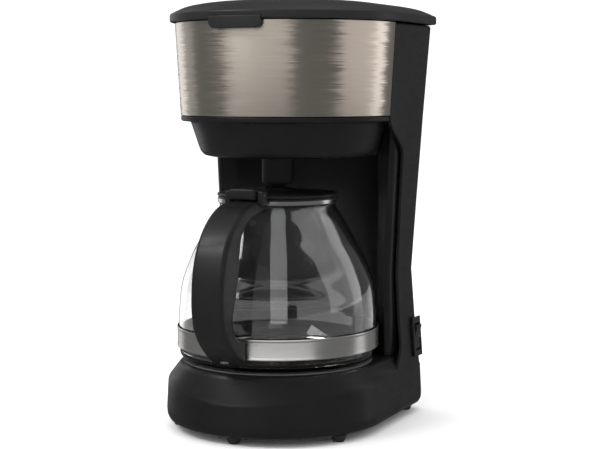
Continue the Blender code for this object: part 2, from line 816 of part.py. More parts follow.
def tank_ring(z, low_front, inset, floor=0.0):
    half_width, rear_y = shell_size(z)
    half_width -= WALL + 0.6 * MM + inset
    rear_y -= WALL + 0.6 * MM + inset
    front = []
    stations = [-half_width, -41 * MM, -38 * MM]
    stations += [x * MM for x in range(-30, 31, 10)]
    stations += [38 * MM, 41 * MM, half_width]
    for x in stations:
        if abs(x) > 40 * MM:
            y = 50.0 * MM
        elif low_front:
            y = math.sqrt((JUG_BAY_RADIUS + 3.2 * MM) ** 2 - x**2)
        else:
            y = HEAD_BACK_Y + 1.1 * MM
        front.append((x, y + inset))
    return at_height(front + rear_points(half_width, rear_y, 11 * MM - inset), z + floor)


def water_tank():
    wall = TANK_WALL
    outer = [
        tank_ring(TANK_BOTTOM, True, 0.0),
        tank_ring(WAIST_Z, True, 0.0),
        tank_ring(130 * MM, True, 0.0),
        tank_ring(TANK_SHELF, True, 0.0),
        tank_ring(TANK_SHELF + 2 * MM, False, 0.0),
        tank_ring(TANK_TOP, False, 0.0),
    ]
    inner = [
        tank_ring(TANK_TOP, False, wall),
        tank_ring(TANK_SHELF + 4.2 * MM, False, wall),
        tank_ring(TANK_SHELF + 2.2 * MM, True, wall),
        tank_ring(130 * MM, True, wall),
        tank_ring(WAIST_Z, True, wall),
        tank_ring(TANK_BOTTOM + 2 * MM, True, wall),
    ]
    obj = part("water_tank", loft_mesh("water_tank", outer + inner), "tank_plastic")
    holes = [
        cylinder_mesh("inlet_hole", (-PORT_X, PORT_Y, 50 * MM), PIPE_RADIUS + GAP, 14 * MM, 20),
        cylinder_mesh("riser_hole", (PORT_X, PORT_Y, 50 * MM), HOSE_RADIUS + GAP, 14 * MM, 20),
    ]
    cut(obj, "tank_holes", many_mesh("tank_holes", holes))
    return obj


def horseshoe(arc_radius, z, leg):
    """A path along one leg, round the front and back along the other. A leg lists (y, z) from its end."""
    bend = [(x, y, z) for x, y in arc((0, 0), arc_radius, math.pi, math.tau, 12)]
    left = [(-arc_radius, y, leg_z) for y, leg_z in leg]
    right = [(arc_radius, y, leg_z) for y, leg_z in reversed(leg)]
    return [Vector(point) for point in left + bend + right]


def water_channel():
    leg = [(CHANNEL_END_Y, CHANNEL_END_Z), (23 * MM, CHANNEL_END_Z), (12 * MM, CHANNEL_Z)]
    path = horseshoe(CHANNEL_ARC, CHANNEL_Z, leg)
    return pipe("water_channel", path, PIPE_RADIUS, PIPE_BORE, "aluminium")


def heating_element():
    leg = [(26 * MM, ELEMENT_Z)]
    data = curve_data("heating_element", horseshoe(ELEMENT_ARC, ELEMENT_Z, leg), ELEMENT_RADIUS)
    return part("heating_element", curve_mesh("heating_element", data), "bright_steel")


def hose_path(side, top):
    points = [
        (side * CHANNEL_ARC, CHANNEL_END_Y - 7 * MM, CHANNEL_END_Z),
        (side * CHANNEL_ARC, CHANNEL_END_Y + 2 * MM, CHANNEL_END_Z),
        (side * 36.0 * MM, 49 * MM, 28.6 * MM),
        (side * PORT_X, 58 * MM, 31 * MM),
        (side * PORT_X, PORT_Y, 40 * MM),
        (side * PORT_X, PORT_Y, TANK_BOTTOM - 8.5 * MM),
        (side * PORT_X, PORT_Y, top),
    ]
    return through(points, 2)


def hoses():
    pipe("inlet_hose", hose_path(-1, TANK_BOTTOM - 0.8 * MM), HOSE_RADIUS, HOSE_BORE, "silicone")
    pipe("outlet_hose", hose_path(1, TANK_BOTTOM - 0.8 * MM), HOSE_RADIUS, HOSE_BORE, "silicone")


def check_valve():
    floor = TANK_BOTTOM + 2 * MM + GAP
    top = floor + 10.5 * MM
    profile = [
        (5.0 * MM, top),
        (5.0 * MM, floor + 1.4 * MM),
        (5.8 * MM, floor + 1.4 * MM),
        (5.8 * MM, floor),
        (PIPE_RADIUS, floor),
        (PIPE_RADIUS, TANK_BOTTOM - 8 * MM),
        (1.6 * MM, TANK_BOTTOM - 8 * MM),
        (1.6 * MM, floor + 1.5 * MM),
        (3.2 * MM, floor + 3.1 * MM),
        (3.2 * MM, top - 1.0 * MM),
        (1.9 * MM, top - 0.8 * MM),
        (1.9 * MM, top),
    ]
    place = (-PORT_X, PORT_Y, 0)
    turned("check_valve_body", profile, "inner_plastic", steps=20, place=place)
    bm = bmesh.new()
    bmesh.ops.create_uvsphere(bm, u_segments=12, v_segments=8, radius=2.5 * MM)
    ball = part("check_valve_ball", to_mesh(bm, "check_valve_ball"), "rubber")
    ball.location = (-PORT_X, PORT_Y, floor + 3.9 * MM)


def riser():
    profile = [
        (PIPE_RADIUS, TANK_TOP),
        (PIPE_RADIUS, TANK_BOTTOM - 8 * MM),
        (PIPE_BORE, TANK_BOTTOM - 8 * MM),
        (PIPE_BORE, TANK_TOP),
    ]
    turned("riser_tube", profile, "bright_steel", steps=20, place=(PORT_X, PORT_Y, 0))
    floor = TANK_BOTTOM + 2 * MM + GAP
    grommet = [
        (6.6 * MM, floor + 1.6 * MM),
        (6.6 * MM, floor),
        (HOSE_RADIUS, floor),
        (HOSE_RADIUS, TANK_BOTTOM - 0.4 * MM),
        (HOSE_BORE, TANK_BOTTOM - 0.4 * MM),
        (HOSE_BORE, floor + 1.6 * MM),
    ]
    turned("riser_grommet", grommet, "silicone", steps=20, place=(PORT_X, PORT_Y, 0))


def outlet_spout():
    points = [
        (PORT_X, PORT_Y, TANK_TOP - 4 * MM),
        (PORT_X, PORT_Y, 228 * MM),
        (36 * MM, 59 * MM, 231.6 * MM),
        (28 * MM, 48 * MM, 232.6 * MM),
        (18 * MM, 32 * MM, 232.4 * MM),
        (13 * MM, 23 * MM, 230.6 * MM),
    ]
    return pipe("outlet_spout", through(points, 3), 5.3 * MM, HOSE_BORE, "inner_plastic")


# ---------------------------------------------------------------- heater


def hotplate():
    profile = [
        (0.0, 40.3 * MM),
        (51.2 * MM, 40.3 * MM),
        (52.0 * MM, 39.6 * MM),
        (52.0 * MM, 36.8 * MM),
        (50.8 * MM, 36.8 * MM),
        (50.8 * MM, 38.8 * MM),
        (0.0, 38.8 * MM),
    ]
    turned("hotplate", profile, "hotplate_coat", closed=False, steps=36)


def hotplate_seal():
    profile = [
        (55.4 * MM, 39.8 * MM),
        (55.4 * MM, TOP_PLATE_Z + GAP),
        (54.0 * MM, TOP_PLATE_Z + GAP),
        (54.0 * MM, 36.0 * MM),
        (52.4 * MM, 36.0 * MM),
        (52.4 * MM, 39.8 * MM),
    ]
    turned("hotplate_seal", profile, "silicone", steps=36)


def heater_fixings():
    bar_low = 29.4 * MM
    bar_mesh = box_mesh("heater_clamp", (-42 * MM, -6 * MM, bar_low), (42 * MM, 6 * MM, bar_low + 1.5 * MM))
    bar = part("heater_clamp", bar_mesh, "bright_steel")
    screw_x = 15 * MM
    holes = [
        cylinder_mesh("hole", (side * screw_x, 0, 20 * MM), 1.9 * MM, 20 * MM, 12)
        for side in (-1, 1)
    ]
    cut(bar, "clamp_holes", many_mesh("clamp_holes", holes))
    for side, name in ((-1, "left"), (1, "right")):
        profile = [
            (0.0, 38.4 * MM),
            (1.5 * MM, 38.4 * MM),
            (1.5 * MM, bar_low - GAP),
            (3.0 * MM, bar_low - GAP),
            (3.0 * MM, bar_low - 2.2 * MM),
            (0.0, bar_low - 2.2 * MM),
        ]
        place = (side * screw_x, 0, 0)
        turned("clamp_screw_" + name, profile, "bright_steel", closed=False, steps=12, place=place)
    thermostat = [
        (0.0, 38.4 * MM),
        (8.0 * MM, 38.4 * MM),
        (8.0 * MM, 34.0 * MM),
        (6.5 * MM, 34.0 * MM),
        (6.5 * MM, bar_low + 1.8 * MM),
        (0.0, bar_low + 1.8 * MM),
    ]
    turned("thermostat", thermostat, "ceramic", closed=False, steps=20)
    fuse = cylinder_mesh("thermal_fuse", (-11 * MM, 17 * MM, 35.4 * MM), 2.4 * MM, 22 * MM, 12, ALONG_X)
    part("thermal_fuse", fuse, "brass")


def terminal_block():
    block = box_mesh("terminal_block", (-30 * MM, 58 * MM, 7.0 * MM), (-8 * MM, 68 * MM, 17 * MM))
    obj = part("terminal_block", block, "ceramic")
    round_edges(obj, 0.8 * MM, 1)


def wires():
    radius = 1.3 * MM
    routes = {
        "supply_wire": [(-35, 74.6, 16), (-34, 71, 15), (-31.8, 63, 12)],
        "switch_wire": [(-7.6, 63, 12), (8, 62, 10), (30, 60, 11), (44, 56, 18), (45, 57, 30)],
        "heater_wire": [(-19, 57.6, 12), (-20, 50, 12), (-22, 38, 20), (-24, 33, 29)],
    }
    for name, points in routes.items():
        route = through([Vector(point) * MM for point in points], 3)
        part(name, curve_mesh(name, curve_data(name, route, radius, 1)), "rubber")


def cord_gland():
    profile = [
        (7.0 * MM, 1.9 * MM),
        (7.0 * MM, 0.3 * MM),
        (5.1 * MM, 0.3 * MM),
        (5.1 * MM, -5.0 * MM),
        (3.6 * MM, -5.0 * MM),
        (3.6 * MM, 1.9 * MM),
    ]
    obj = turned("cord_gland", profile, "rubber", steps=20)
    obj.matrix_world = Matrix.Translation((-35 * MM, 80.4 * MM, 16 * MM)) @ ALONG_Y


# ---------------------------------------------------------------- filter and drip stop


def filter_basket():
    profile = [
        (41.2 * MM, 225.4 * MM),
        (41.2 * MM, 224.0 * MM),
        (39.6 * MM, 223.6 * MM),
        (38.4 * MM, 184.0 * MM),
        (34.0 * MM, 172.0 * MM),
        (29.5 * MM, HEAD_BOTTOM + 2.8 * MM),
        (SKIRT_RADIUS, HEAD_BOTTOM + 2.8 * MM),
        (SKIRT_RADIUS, SKIRT_BOTTOM),
        (SKIRT_BORE, SKIRT_BOTTOM),
        (SKIRT_BORE, OUTLET_CEILING),
        (OUTLET_BORE, OUTLET_CEILING),
        (OUTLET_BORE, BASKET_FLOOR),
        (28.0 * MM, BASKET_FLOOR),
        (32.5 * MM, 172.6 * MM),
        (36.8 * MM, 184.4 * MM),
        (38.0 * MM, 225.4 * MM),
    ]
    return turned("filter_basket", profile, "inner_plastic", steps=28)


def permanent_filter():
    mesh_cup = [
        (36.2 * MM, 216.0 * MM),
        (35.6 * MM, 185.0 * MM),
        (31.2 * MM, 173.5 * MM),
        (28.0 * MM, 171.4 * MM),
        (0.0, 171.4 * MM),
        (0.0, 172.2 * MM),
        (27.6 * MM, 172.2 * MM),
        (30.6 * MM, 174.2 * MM),
        (34.8 * MM, 185.4 * MM),
        (35.4 * MM, 216.0 * MM),
    ]
    turned("filter_mesh", [mesh_cup[5]] + mesh_cup[6:] + mesh_cup[:5], "mesh", closed=False, steps=24)
    rim = [
        (37.4 * MM, 219.0 * MM),
        (37.4 * MM, 216.3 * MM),
        (34.6 * MM, 216.3 * MM),
        (34.6 * MM, 219.0 * MM),
    ]
    turned("filter_rim", rim, "black_plastic", steps=24)


def drip_stop():
    head = 165.4 * MM
    profile = [
        (0.0, head),
        (3.8 * MM, head),
        (3.8 * MM, head - 1.0 * MM),
        (VALVE_STEM_RADIUS, head - 1.0 * MM),
        (VALVE_STEM_RADIUS, VALVE_BOTTOM + 2.2 * MM),
        (7.5 * MM, VALVE_BOTTOM + 2.2 * MM),
        (7.5 * MM, VALVE_BOTTOM + 0.8 * MM),
        (6.7 * MM, VALVE_BOTTOM),
        (0.0, VALVE_BOTTOM),
    ]
    turned("drip_valve", profile, "inner_plastic", closed=False, steps=20)
    seal = [
        (5.2 * MM, BASKET_FLOOR + 1.8 * MM),
        (5.2 * MM, BASKET_FLOOR + GAP),
        (VALVE_STEM_RADIUS + GAP, BASKET_FLOOR + GAP),
        (VALVE_STEM_RADIUS + GAP, BASKET_FLOOR + 1.8 * MM),
    ]
    turned("valve_seal", seal, "silicone", steps=20)
    low = VALVE_BOTTOM + 3.0 * MM
    high = OUTLET_CEILING - 0.8 * MM
    turns = 5
    points_per_turn = 10
    count = turns * points_per_turn
    coil = []
    for i in range(count + 1):
        angle = math.tau * i / points_per_turn
        coil.append((4.3 * MM * math.cos(angle), 4.3 * MM * math.sin(angle), blend(low, high, i / count)))
    spring = curve_data("valve_spring", coil, 0.45 * MM, 0)
    part("valve_spring", curve_mesh("valve_spring", spring), "bright_steel")


# ---------------------------------------------------------------- switch


def switch_frame():
    """The switch's own frame: +X out of the housing's side, +Z up the side."""
    return Matrix.Translation(SWITCH_CENTRE) @ Matrix.Rotation(SWITCH_LEAN, 4, "Y")


def switch():
    frame = bpy.data.objects.new("switch_frame", None)
    PARTS.objects.link(frame)
    frame.matrix_world = switch_frame()
    case = box_mesh("switch_body", (-8 * MM, -5.4 * MM, -9.8 * MM), (1.0 * MM, 5.4 * MM, 9.8 * MM))
    body = part("switch_body", case, "black_plastic")
    body.parent = frame
    bezel_mesh = box_mesh("bezel", (0.4 * MM, -6.2 * MM, -12 * MM), (1.6 * MM, 6.2 * MM, 12 * MM))
    bezel = helper("switch_bezel", bezel_mesh)
    bezel.parent = frame
    round_edges(bezel, 0.5 * MM, 2)
    boolean(body, bezel, "UNION")
    pocket_mesh = box_mesh("pocket", (-6 * MM, -4.1 * MM, -8.3 * MM), (6 * MM, 4.1 * MM, 8.3 * MM))
    pocket = helper("switch_pocket", pocket_mesh)
    pocket.parent = frame
    boolean(body, pocket, "DIFFERENCE")
    hole_mesh = cylinder_mesh("axle_hole", (0, -6 * MM, 0), 1.3 * MM, 12 * MM, 16, ALONG_Y)
    axle_hole = helper("axle_hole", hole_mesh)
    axle_hole.parent = frame
    boolean(body, axle_hole, "DIFFERENCE")
    rocker = part("switch_rocker", rocker_mesh(), "black_plastic")
    rocker.parent = frame
    rocker.rotation_euler = (0.0, ROCKER_TILT, 0.0)
    axle_mesh = cylinder_mesh("axle", (0, -4.9 * MM, 0), 1.0 * MM, 9.8 * MM, 16, ALONG_Y)
    axle = helper("rocker_axle", axle_mesh)
    axle.parent = frame
    axle.rotation_euler = (0.0, ROCKER_TILT, 0.0)
    boolean(rocker, axle, "UNION")


def rocker_mesh():
    """A rocker whose face dips at its middle."""
    side = [(-3.0, -6.8), (2.0, -7.4), (2.3, -6.6), (1.3, 0.0), (2.3, 6.6), (2.0, 7.4), (-3.0, 6.8)]
    half = 3.7 * MM
    rings = [[(x * MM, y, z * MM) for x, z in side] for y in (-half, half)]
    return loft_mesh("switch_rocker", rings)


# ---------------------------------------------------------------- jug


def jug_profile(inset):
    """The glass wall's outer line from the neck down to the foot, moved inwards by inset."""
    wall = [
        (33.0, 134.2),
        (32.6, 131.8),
        (34.6, 127.6),
        (38.4, 122.0),
        (44.0, 112.0),
        (50.0, 100.9),
        (55.9, 84.6),
        (57.7, 70.0),
        (58.0, 59.0),
        (57.3, 43.2),
    ]
    return [(radius * MM - inset, z * MM) for radius, z in wall]


def jug_glass():
    under = [
        (55.0 * MM, JUG_FLOOR_Z),
        (52.0 * MM, JUG_FLOOR_Z),
        (46.0 * MM, 41.6 * MM),
        (0.0, 41.8 * MM),
    ]
    floor = [(0.0, 43.8 * MM), (46.0 * MM, 43.6 * MM), (52.5 * MM, 44.2 * MM)]
    inner = floor + list(reversed(jug_profile(GLASS)[:-1]))
    outer = jug_profile(0.0) + under
    turned("jug_glass", inner + outer, "glass", closed=False, steps=32)


def jug_band():
    profile = [
        (BAND_RADIUS, 59.4 * MM),
        (BAND_RADIUS, 47.7 * MM),
        (58.4 * MM, 47.7 * MM),
        (58.4 * MM, 59.4 * MM),
    ]
    turned("jug_band", profile, "bright_steel", steps=40)


def jug_collar():
    inner = 33.4 * MM
    profile = [
        (COLLAR_RADIUS - 0.6 * MM, COLLAR_TOP),
        (COLLAR_RADIUS, COLLAR_TOP - 0.6 * MM),
        (COLLAR_RADIUS, COLLAR_BOTTOM + 0.6 * MM),
        (COLLAR_RADIUS - 0.6 * MM, COLLAR_BOTTOM),
        (inner, COLLAR_BOTTOM),
        (inner, COLLAR_TOP),
    ]
    obj = turned("jug_collar", profile, "black_plastic", steps=28)
    tongue = box_mesh("tongue", (-9.0 * MM, -44.5 * MM, 129.6 * MM), (9.0 * MM, -33.7 * MM, 134.2 * MM))
    join(obj, "collar_tongue", tongue)
    lugs = []
    half = 1.8 * MM
    for middle in (-10.2 * MM, 10.2 * MM):
        low = (middle - half, -43.5 * MM, 132 * MM)
        high = (middle + half, -36.5 * MM, 140.2 * MM)
        lugs.append(box_mesh("lug", low, high))
    join(obj, "collar_lugs", many_mesh("collar_lugs", lugs))
    bore = cylinder_mesh("lid_bore", (-13 * MM, -40 * MM, 137.6 * MM), 1.25 * MM, 26 * MM, 12, ALONG_X)
    cut(obj, "collar_pin_bore", bore)
    screw_bore = cylinder_mesh("screw_bore", (0, -41 * MM, 126 * MM), 1.55 * MM, 6.6 * MM, 12)
    cut(obj, "collar_screw_bore", screw_bore)


def jug_lid():
    profile = [
        (0.0, JUG_DOME_TOP),
        (4.0 * MM, JUG_DOME_TOP - 0.2 * MM),
        (7.2 * MM, JUG_DOME_TOP - 1.1 * MM),
        (9.0 * MM, JUG_LID_TOP + 0.4 * MM),
        (12.0 * MM, JUG_LID_TOP),
        (34.4 * MM, JUG_LID_TOP - 0.4 * MM),
        (35.2 * MM, JUG_LID_TOP - 1.0 * MM),
        (35.2 * MM, JUG_LID_BOTTOM),
        (30.5 * MM, JUG_LID_BOTTOM),
        (29.8 * MM, 131.0 * MM),
        (28.6 * MM, 131.0 * MM),
        (28.4 * MM, JUG_LID_BOTTOM - 0.4 * MM),
        (9.0 * MM, JUG_LID_BOTTOM - 0.4 * MM),
        (6.0 * MM, JUG_DOME_TOP - 3.0 * MM),
        (0.0, JUG_DOME_TOP - 2.4 * MM),
    ]
    obj = turned("jug_lid", profile, "black_plastic", closed=False, steps=28)
    ears = box_mesh("ears", (-7.8 * MM, -46.0 * MM, 135.2 * MM), (7.8 * MM, -32.0 * MM, 141.4 * MM))
    block = helper("thumb_tab", ears)
    round_edges(block, 0.8 * MM, 1)
    boolean(obj, block, "UNION")
    bore = cylinder_mesh("tab_bore", (-13 * MM, -40 * MM, 137.6 * MM), 1.25 * MM, 26 * MM, 12, ALONG_X)
    cut(obj, "tab_pin_bore", bore)
    pin = cylinder_mesh("jug_lid_pin", (-11.6 * MM, -40 * MM, 137.6 * MM), 1.0 * MM, 23.2 * MM, 12, ALONG_X)
    part("jug_lid_pin", pin, "bright_steel")


def handle_outline():
    """The handle seen from its side: the distance from the jug's axis, and the height."""
    outer = [(36.4, 134.4), (45.6, 134.4), (59.2, 131.6), (71.4, 124.2), (80.6, 113.5), (86.2, 100.0)]
    outer += [(88.0, 85.0), (86.9, 72.0), (82.2, 61.5), (73.5, 52.4), (65.0, 46.4), (59.6, 44.2)]
    inner = [(59.6, 59.6), (65.6, 60.6), (71.6, 65.0), (73.6, 72.0), (71.0, 82.0), (67.0, 96.0)]
    inner += [(65.2, 108.0), (62.6, 117.0), (54.1, 123.8), (44.0, 126.6), (36.4, 127.8)]
    return outer, inner


def handle_mesh():
    outer, inner = handle_outline()
    data = bpy.data.curves.new("jug_handle", "CURVE")
    data.dimensions = "2D"
    data.fill_mode = "BOTH"
    spline = data.splines.new("POLY")
    line = through([(r, z, 0) for r, z in outer], 2) + through([(r, z, 0) for r, z in inner], 2)
    spline.points.add(len(line) - 1)
    for target, point in zip(spline.points, line):
        target.co = (*(point * MM), 1.0)
    spline.use_cyclic_u = True
    data.offset = -HANDLE_EDGE
    data.extrude = HANDLE_HALF_WIDTH - HANDLE_EDGE
    data.bevel_depth = HANDLE_EDGE
    data.bevel_resolution = 1
    mesh = curve_mesh("jug_handle", data)
    mesh.transform(Matrix(((0, 0, -1, 0), (-1, 0, 0, 0), (0, 1, 0, 0), (0, 0, 0, 1))))
    return mesh


def jug_handle():
    obj = part("jug_handle", handle_mesh(), "black_plastic")
    slot = box_mesh("tongue_slot", (-9.3 * MM, -44.8 * MM, 129.3 * MM), (9.3 * MM, -30 * MM, 134.5 * MM))
    cut(obj, "tongue_slot", slot)
    neck = turned_helper(
        "collar_clearance",
        [
            (COLLAR_RADIUS + GAP, 150 * MM),
            (COLLAR_RADIUS + GAP, 110 * MM),
            (20 * MM, 110 * MM),
            (20 * MM, 150 * MM),
        ],
    )
    boolean(obj, neck, "DIFFERENCE")
    belly = turned_helper(
        "band_clearance",
        [
            (BAND_RADIUS + GAP, 62 * MM),
            (BAND_RADIUS + GAP, 38 * MM),
            (40 * MM, 38 * MM),
            (40 * MM, 62 * MM),
        ],
        steps=64,
    )
    boolean(obj, belly, "DIFFERENCE")
    top = box_mesh("lug_clearance", (-14 * MM, -45 * MM, 131.7 * MM), (14 * MM, -30 * MM, 145 * MM))
    cut(obj, "lug_clearance", top)
    holes = [
        cylinder_mesh("screw_hole", (0, -41 * MM, 120 * MM), SCREW_HEAD_RADIUS + GAP, 8.1 * MM, 16),
        cylinder_mesh("screw_hole", (0, -41 * MM, 120 * MM), SCREW_RADIUS + GAP, 14 * MM, 12),
    ]
    cut(obj, "collar_screw_head", holes[0])
    cut(obj, "collar_screw_shaft", holes[1])
    lower = cylinder_mesh("lower_hole", (0, -66 * MM, 40 * MM), SCREW_HEAD_RADIUS + GAP, 9 * MM, 16)
    cut(obj, "lower_screw_head", lower)
    shaft = cylinder_mesh("lower_shaft", (0, -66 * MM, 40 * MM), SCREW_RADIUS + GAP, 17 * MM, 12)
    cut(obj, "lower_screw_shaft", shaft)


def jug_screws():
    screws = (("collar_screw", -41.0, 126.2, 6.0), ("handle_screw", -66.0, 46.8, 9.6))
    for name, y, head_low, length in screws:
        head_high = head_low + 1.6
        profile = [
            (0.0, (head_low + length) * MM),
            (SCREW_RADIUS, (head_low + length) * MM),
            (SCREW_RADIUS, head_high * MM),
            (SCREW_HEAD_RADIUS, head_high * MM),
            (SCREW_HEAD_RADIUS, head_low * MM),
            (0.0, head_low * MM),
        ]
        turned(name, profile, "bright_steel", closed=False, steps=12, place=(0, y * MM, 0))


# ---------------------------------------------------------------- build

main_housing()
bottom_cover()
feet()
cover_screws()
column_panel()
brew_head()
steel_band()
lid()
hinge_pins()
water_tank()
water_channel()
heating_element()
hoses()
check_valve()
riser()
outlet_spout()
hotplate()
hotplate_seal()
heater_fixings()
terminal_block()
wires()
cord_gland()
filter_basket()
permanent_filter()
drip_stop()
switch()
jug_glass()
jug_band()
jug_collar()
jug_lid()
jug_handle()
jug_screws()
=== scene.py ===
"""Looks of the drip coffee maker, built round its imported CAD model.

Shapes are given in millimetres. Materials, lights and the camera are in metres.
"""

import json
import math

import bmesh
import bpy
from mathutils import Matrix, Vector

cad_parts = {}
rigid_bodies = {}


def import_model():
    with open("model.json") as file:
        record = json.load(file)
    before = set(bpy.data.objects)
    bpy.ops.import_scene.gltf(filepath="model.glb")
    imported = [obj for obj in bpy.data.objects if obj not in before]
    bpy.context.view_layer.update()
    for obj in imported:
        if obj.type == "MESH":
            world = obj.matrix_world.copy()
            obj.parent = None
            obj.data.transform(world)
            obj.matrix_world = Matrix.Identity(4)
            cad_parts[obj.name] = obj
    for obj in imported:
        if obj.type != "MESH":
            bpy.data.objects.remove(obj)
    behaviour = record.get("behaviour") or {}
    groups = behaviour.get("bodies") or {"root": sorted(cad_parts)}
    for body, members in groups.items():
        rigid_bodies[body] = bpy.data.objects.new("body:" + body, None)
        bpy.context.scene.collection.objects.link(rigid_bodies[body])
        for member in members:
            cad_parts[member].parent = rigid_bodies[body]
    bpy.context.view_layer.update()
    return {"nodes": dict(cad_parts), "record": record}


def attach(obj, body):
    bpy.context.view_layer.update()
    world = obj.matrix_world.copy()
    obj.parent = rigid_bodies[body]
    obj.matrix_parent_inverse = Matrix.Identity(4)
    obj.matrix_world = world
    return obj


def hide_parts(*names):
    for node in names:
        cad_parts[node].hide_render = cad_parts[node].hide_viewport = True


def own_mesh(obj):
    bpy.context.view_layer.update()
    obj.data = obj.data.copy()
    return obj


MM = 0.001
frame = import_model()
NODES = frame["nodes"]
SCENE = bpy.context.scene

# Heights and sizes shared by several pieces
HOUSING_BOTTOM = 4.5
CREASE_Z = 22.2
CREASE_RISE = 6.6
TOP_PLATE_Z = 38.6
LIP_BOTTOM = 178.0
LIP_TOP = 181.1
BODY_TOP = 234.3
LID_BOTTOM = 235.0
LID_TOP = 248.0
LID_RADIUS = 69.5
LID_REAR_Y = 88.0
HEAD_BOTTOM = 157.4
HEAD_Y = 15.0  # the axis of the brew head, the band and the lid's front
HEAD_BACK_Y = 43.7
BAY_RADIUS = 61.0  # the hollow behind the jug
HOLLOW_EDGE = (47.0, 38.9)
WING_FRONT_Y = 32.0
RECESS_EDGE_Y = 41.0
SHELL_AT_BAND_Y = 16.8
WALL = 2.2
GAP = 0.3  # between pieces that don't touch
HINGE_Y, HINGE_Z, HINGE_X = 86.0, 237.3, 30.0
LUG_WIDTH = 10.0
PIN_RADIUS = 1.0
PIN_BORE = 1.25
SWITCH_CENTRE = (62.0, 63.8, 46.6)
SWITCH_LEAN = math.radians(-4.5)
ROCKER_TILT = math.radians(8.0)
BELLY_RADIUS = 59.0
COLLAR_RADIUS = 35.0
JUG_PIN_Y, JUG_PIN_Z = -40.0, 137.6
COLLAR_SCREW_Y, HANDLE_SCREW_Y = -41.0, -66.0
SCREW_RADIUS, SCREW_HEAD_RADIUS = 1.25, 2.8
GLASS = 1.8
PORT_X = 38.0
TANK_PORT_Y = 62.0

# Height, half width and rear of the rear shell's outer face
SHELL = (
    (HOUSING_BOTTOM, 63.0, 79.3),
    (29.0, 63.2, 79.3),
    (56.0, 60.9, 77.0),
    (88.0, 59.2, 74.8),
    (130.0, 61.0, 78.0),
    (LIP_TOP, 63.5, 81.7),
    (LID_BOTTOM, 66.6, 85.5),
)
ROUND = 144  # segments of a full turn
FRONT_STEPS = 96  # steps of a half-round front
CORNER_STEPS = 12
WORLD_WHITE = 1.2  # the white surroundings, as the camera and the floor see them
WORLD_IN_GLOSS = 0.16  # and as gloss sees them, past the black flags of a studio

# -------- node helpers


class Nodes:
    """Short calls for one material's node tree."""

    def __init__(self, name):
        self.material = bpy.data.materials.new(name)
        self.material.use_nodes = True
        self.tree = self.material.node_tree
        self.shader = self.tree.nodes["Principled BSDF"]

    def add(self, kind, inputs=(), **settings):
        node = self.tree.nodes.new("ShaderNode" + kind)
        for key, value in settings.items():
            setattr(node, key, value)
        for key, value in dict(inputs).items():
            self.put(node.inputs[key], value)
        return node

    def put(self, socket, value):
        if isinstance(value, bpy.types.NodeSocket):
            self.tree.links.new(value, socket)
        else:
            socket.default_value = value

    def math(self, operation, first, second=0.0):
        return self.add("Math", {0: first, 1: second}, operation=operation).outputs[0]

    def ramp(self, factor, stops):
        node = self.add("ValToRGB", {"Fac": factor})
        elements = node.color_ramp.elements
        while len(elements) < len(stops):
            elements.new(0.5)
        for element, (place, colour) in zip(elements, stops):
            element.position = place
            element.color = colour
        return node.outputs["Color"]

    def values(self, factor, low, high, start=0.0, end=1.0):
        span = {"From Min": start, "From Max": end, "To Min": low, "To Max": high}
        node = self.add("MapRange", {"Value": factor, **span})
        return node.outputs["Result"]

    def place(self):
        return self.add("TexCoord").outputs["Object"]

    def scaled(self, vector, scale):
        return self.add("Mapping", {"Vector": vector, "Scale": scale}).outputs["Vector"]

    def noise(self, vector, scale, detail=2.0, rough=0.5):
        return self.add(
            "TexNoise", {"Vector": vector, "Scale": scale, "Detail": detail, "Roughness": rough}
        ).outputs["Fac"]

    def bump(self, height, strength, distance, normal=None):
        node = self.add("Bump", {"Height": height, "Strength": strength, "Distance": distance})
        if normal is not None:
            self.put(node.inputs["Normal"], normal)
        return node.outputs["Normal"]

    def set(self, **inputs):
        for key, value in inputs.items():
            self.put(self.shader.inputs[key.replace("_", " ")], value)


def grey(value, tint=(1.0, 1.0, 1.0)):
    return (value * tint[0], value * tint[1], value * tint[2], 1.0)


def moulded(name, dark, light, rough, grain, depth, tint=(1.0, 1.0, 1.03)):
    """Moulded plastic: a fine spark-eroded grain, faint flow clouds and handling marks."""
    n = Nodes(name)
    place = n.place()
    cloud = n.noise(place, 28.0, 4.0, 0.6)
    speck = n.noise(place, grain, 2.0, 0.7)
    wear = n.noise(n.scaled(place, (1.0, 1.0, 3.0)), 90.0, 6.0, 0.65)
    mixed = n.math("ADD", n.math("MULTIPLY", cloud, 0.7), n.math("MULTIPLY", speck, 0.3))
    colour = n.ramp(mixed, ((0.3, grey(dark, tint)), (0.72, grey(light, tint))))
    worn = n.values(wear, rough - 0.06, rough + 0.07, 0.3, 0.7)
    roughness = n.math("ADD", worn, n.values(speck, -0.03, 0.03))
    cells = n.add("TexVoronoi", {"Vector": place, "Scale": grain}).outputs["Distance"]
    fine = n.bump(n.math("ADD", cells, speck), depth, 0.00004)
    normal = n.bump(cloud, 0.05, 0.0006, fine)
    n.set(Base_Color=colour, Roughness=roughness, Normal=normal, Specular_IOR_Level=0.35)
    return n.material


def rubber(name, dark, light, tint=(1.0, 1.0, 1.0), rough=0.75, clear=0.0):
    """Matt elastomer with dust in its pores."""
    n = Nodes(name)
    place = n.place()
    cloud = n.noise(place, 60.0, 5.0, 0.6)
    pores = n.noise(place, 2200.0, 2.0, 0.6)
    n.set(
        Base_Color=n.ramp(cloud, ((0.3, grey(dark, tint)), (0.75, grey(light, tint)))),
        Roughness=n.values(pores, rough - 0.08, rough + 0.1, 0.3, 0.7),
        Normal=n.bump(pores, 0.2, 0.00005),
    )
    if clear:
        n.set(Transmission_Weight=clear, IOR=1.41)
    return n.material


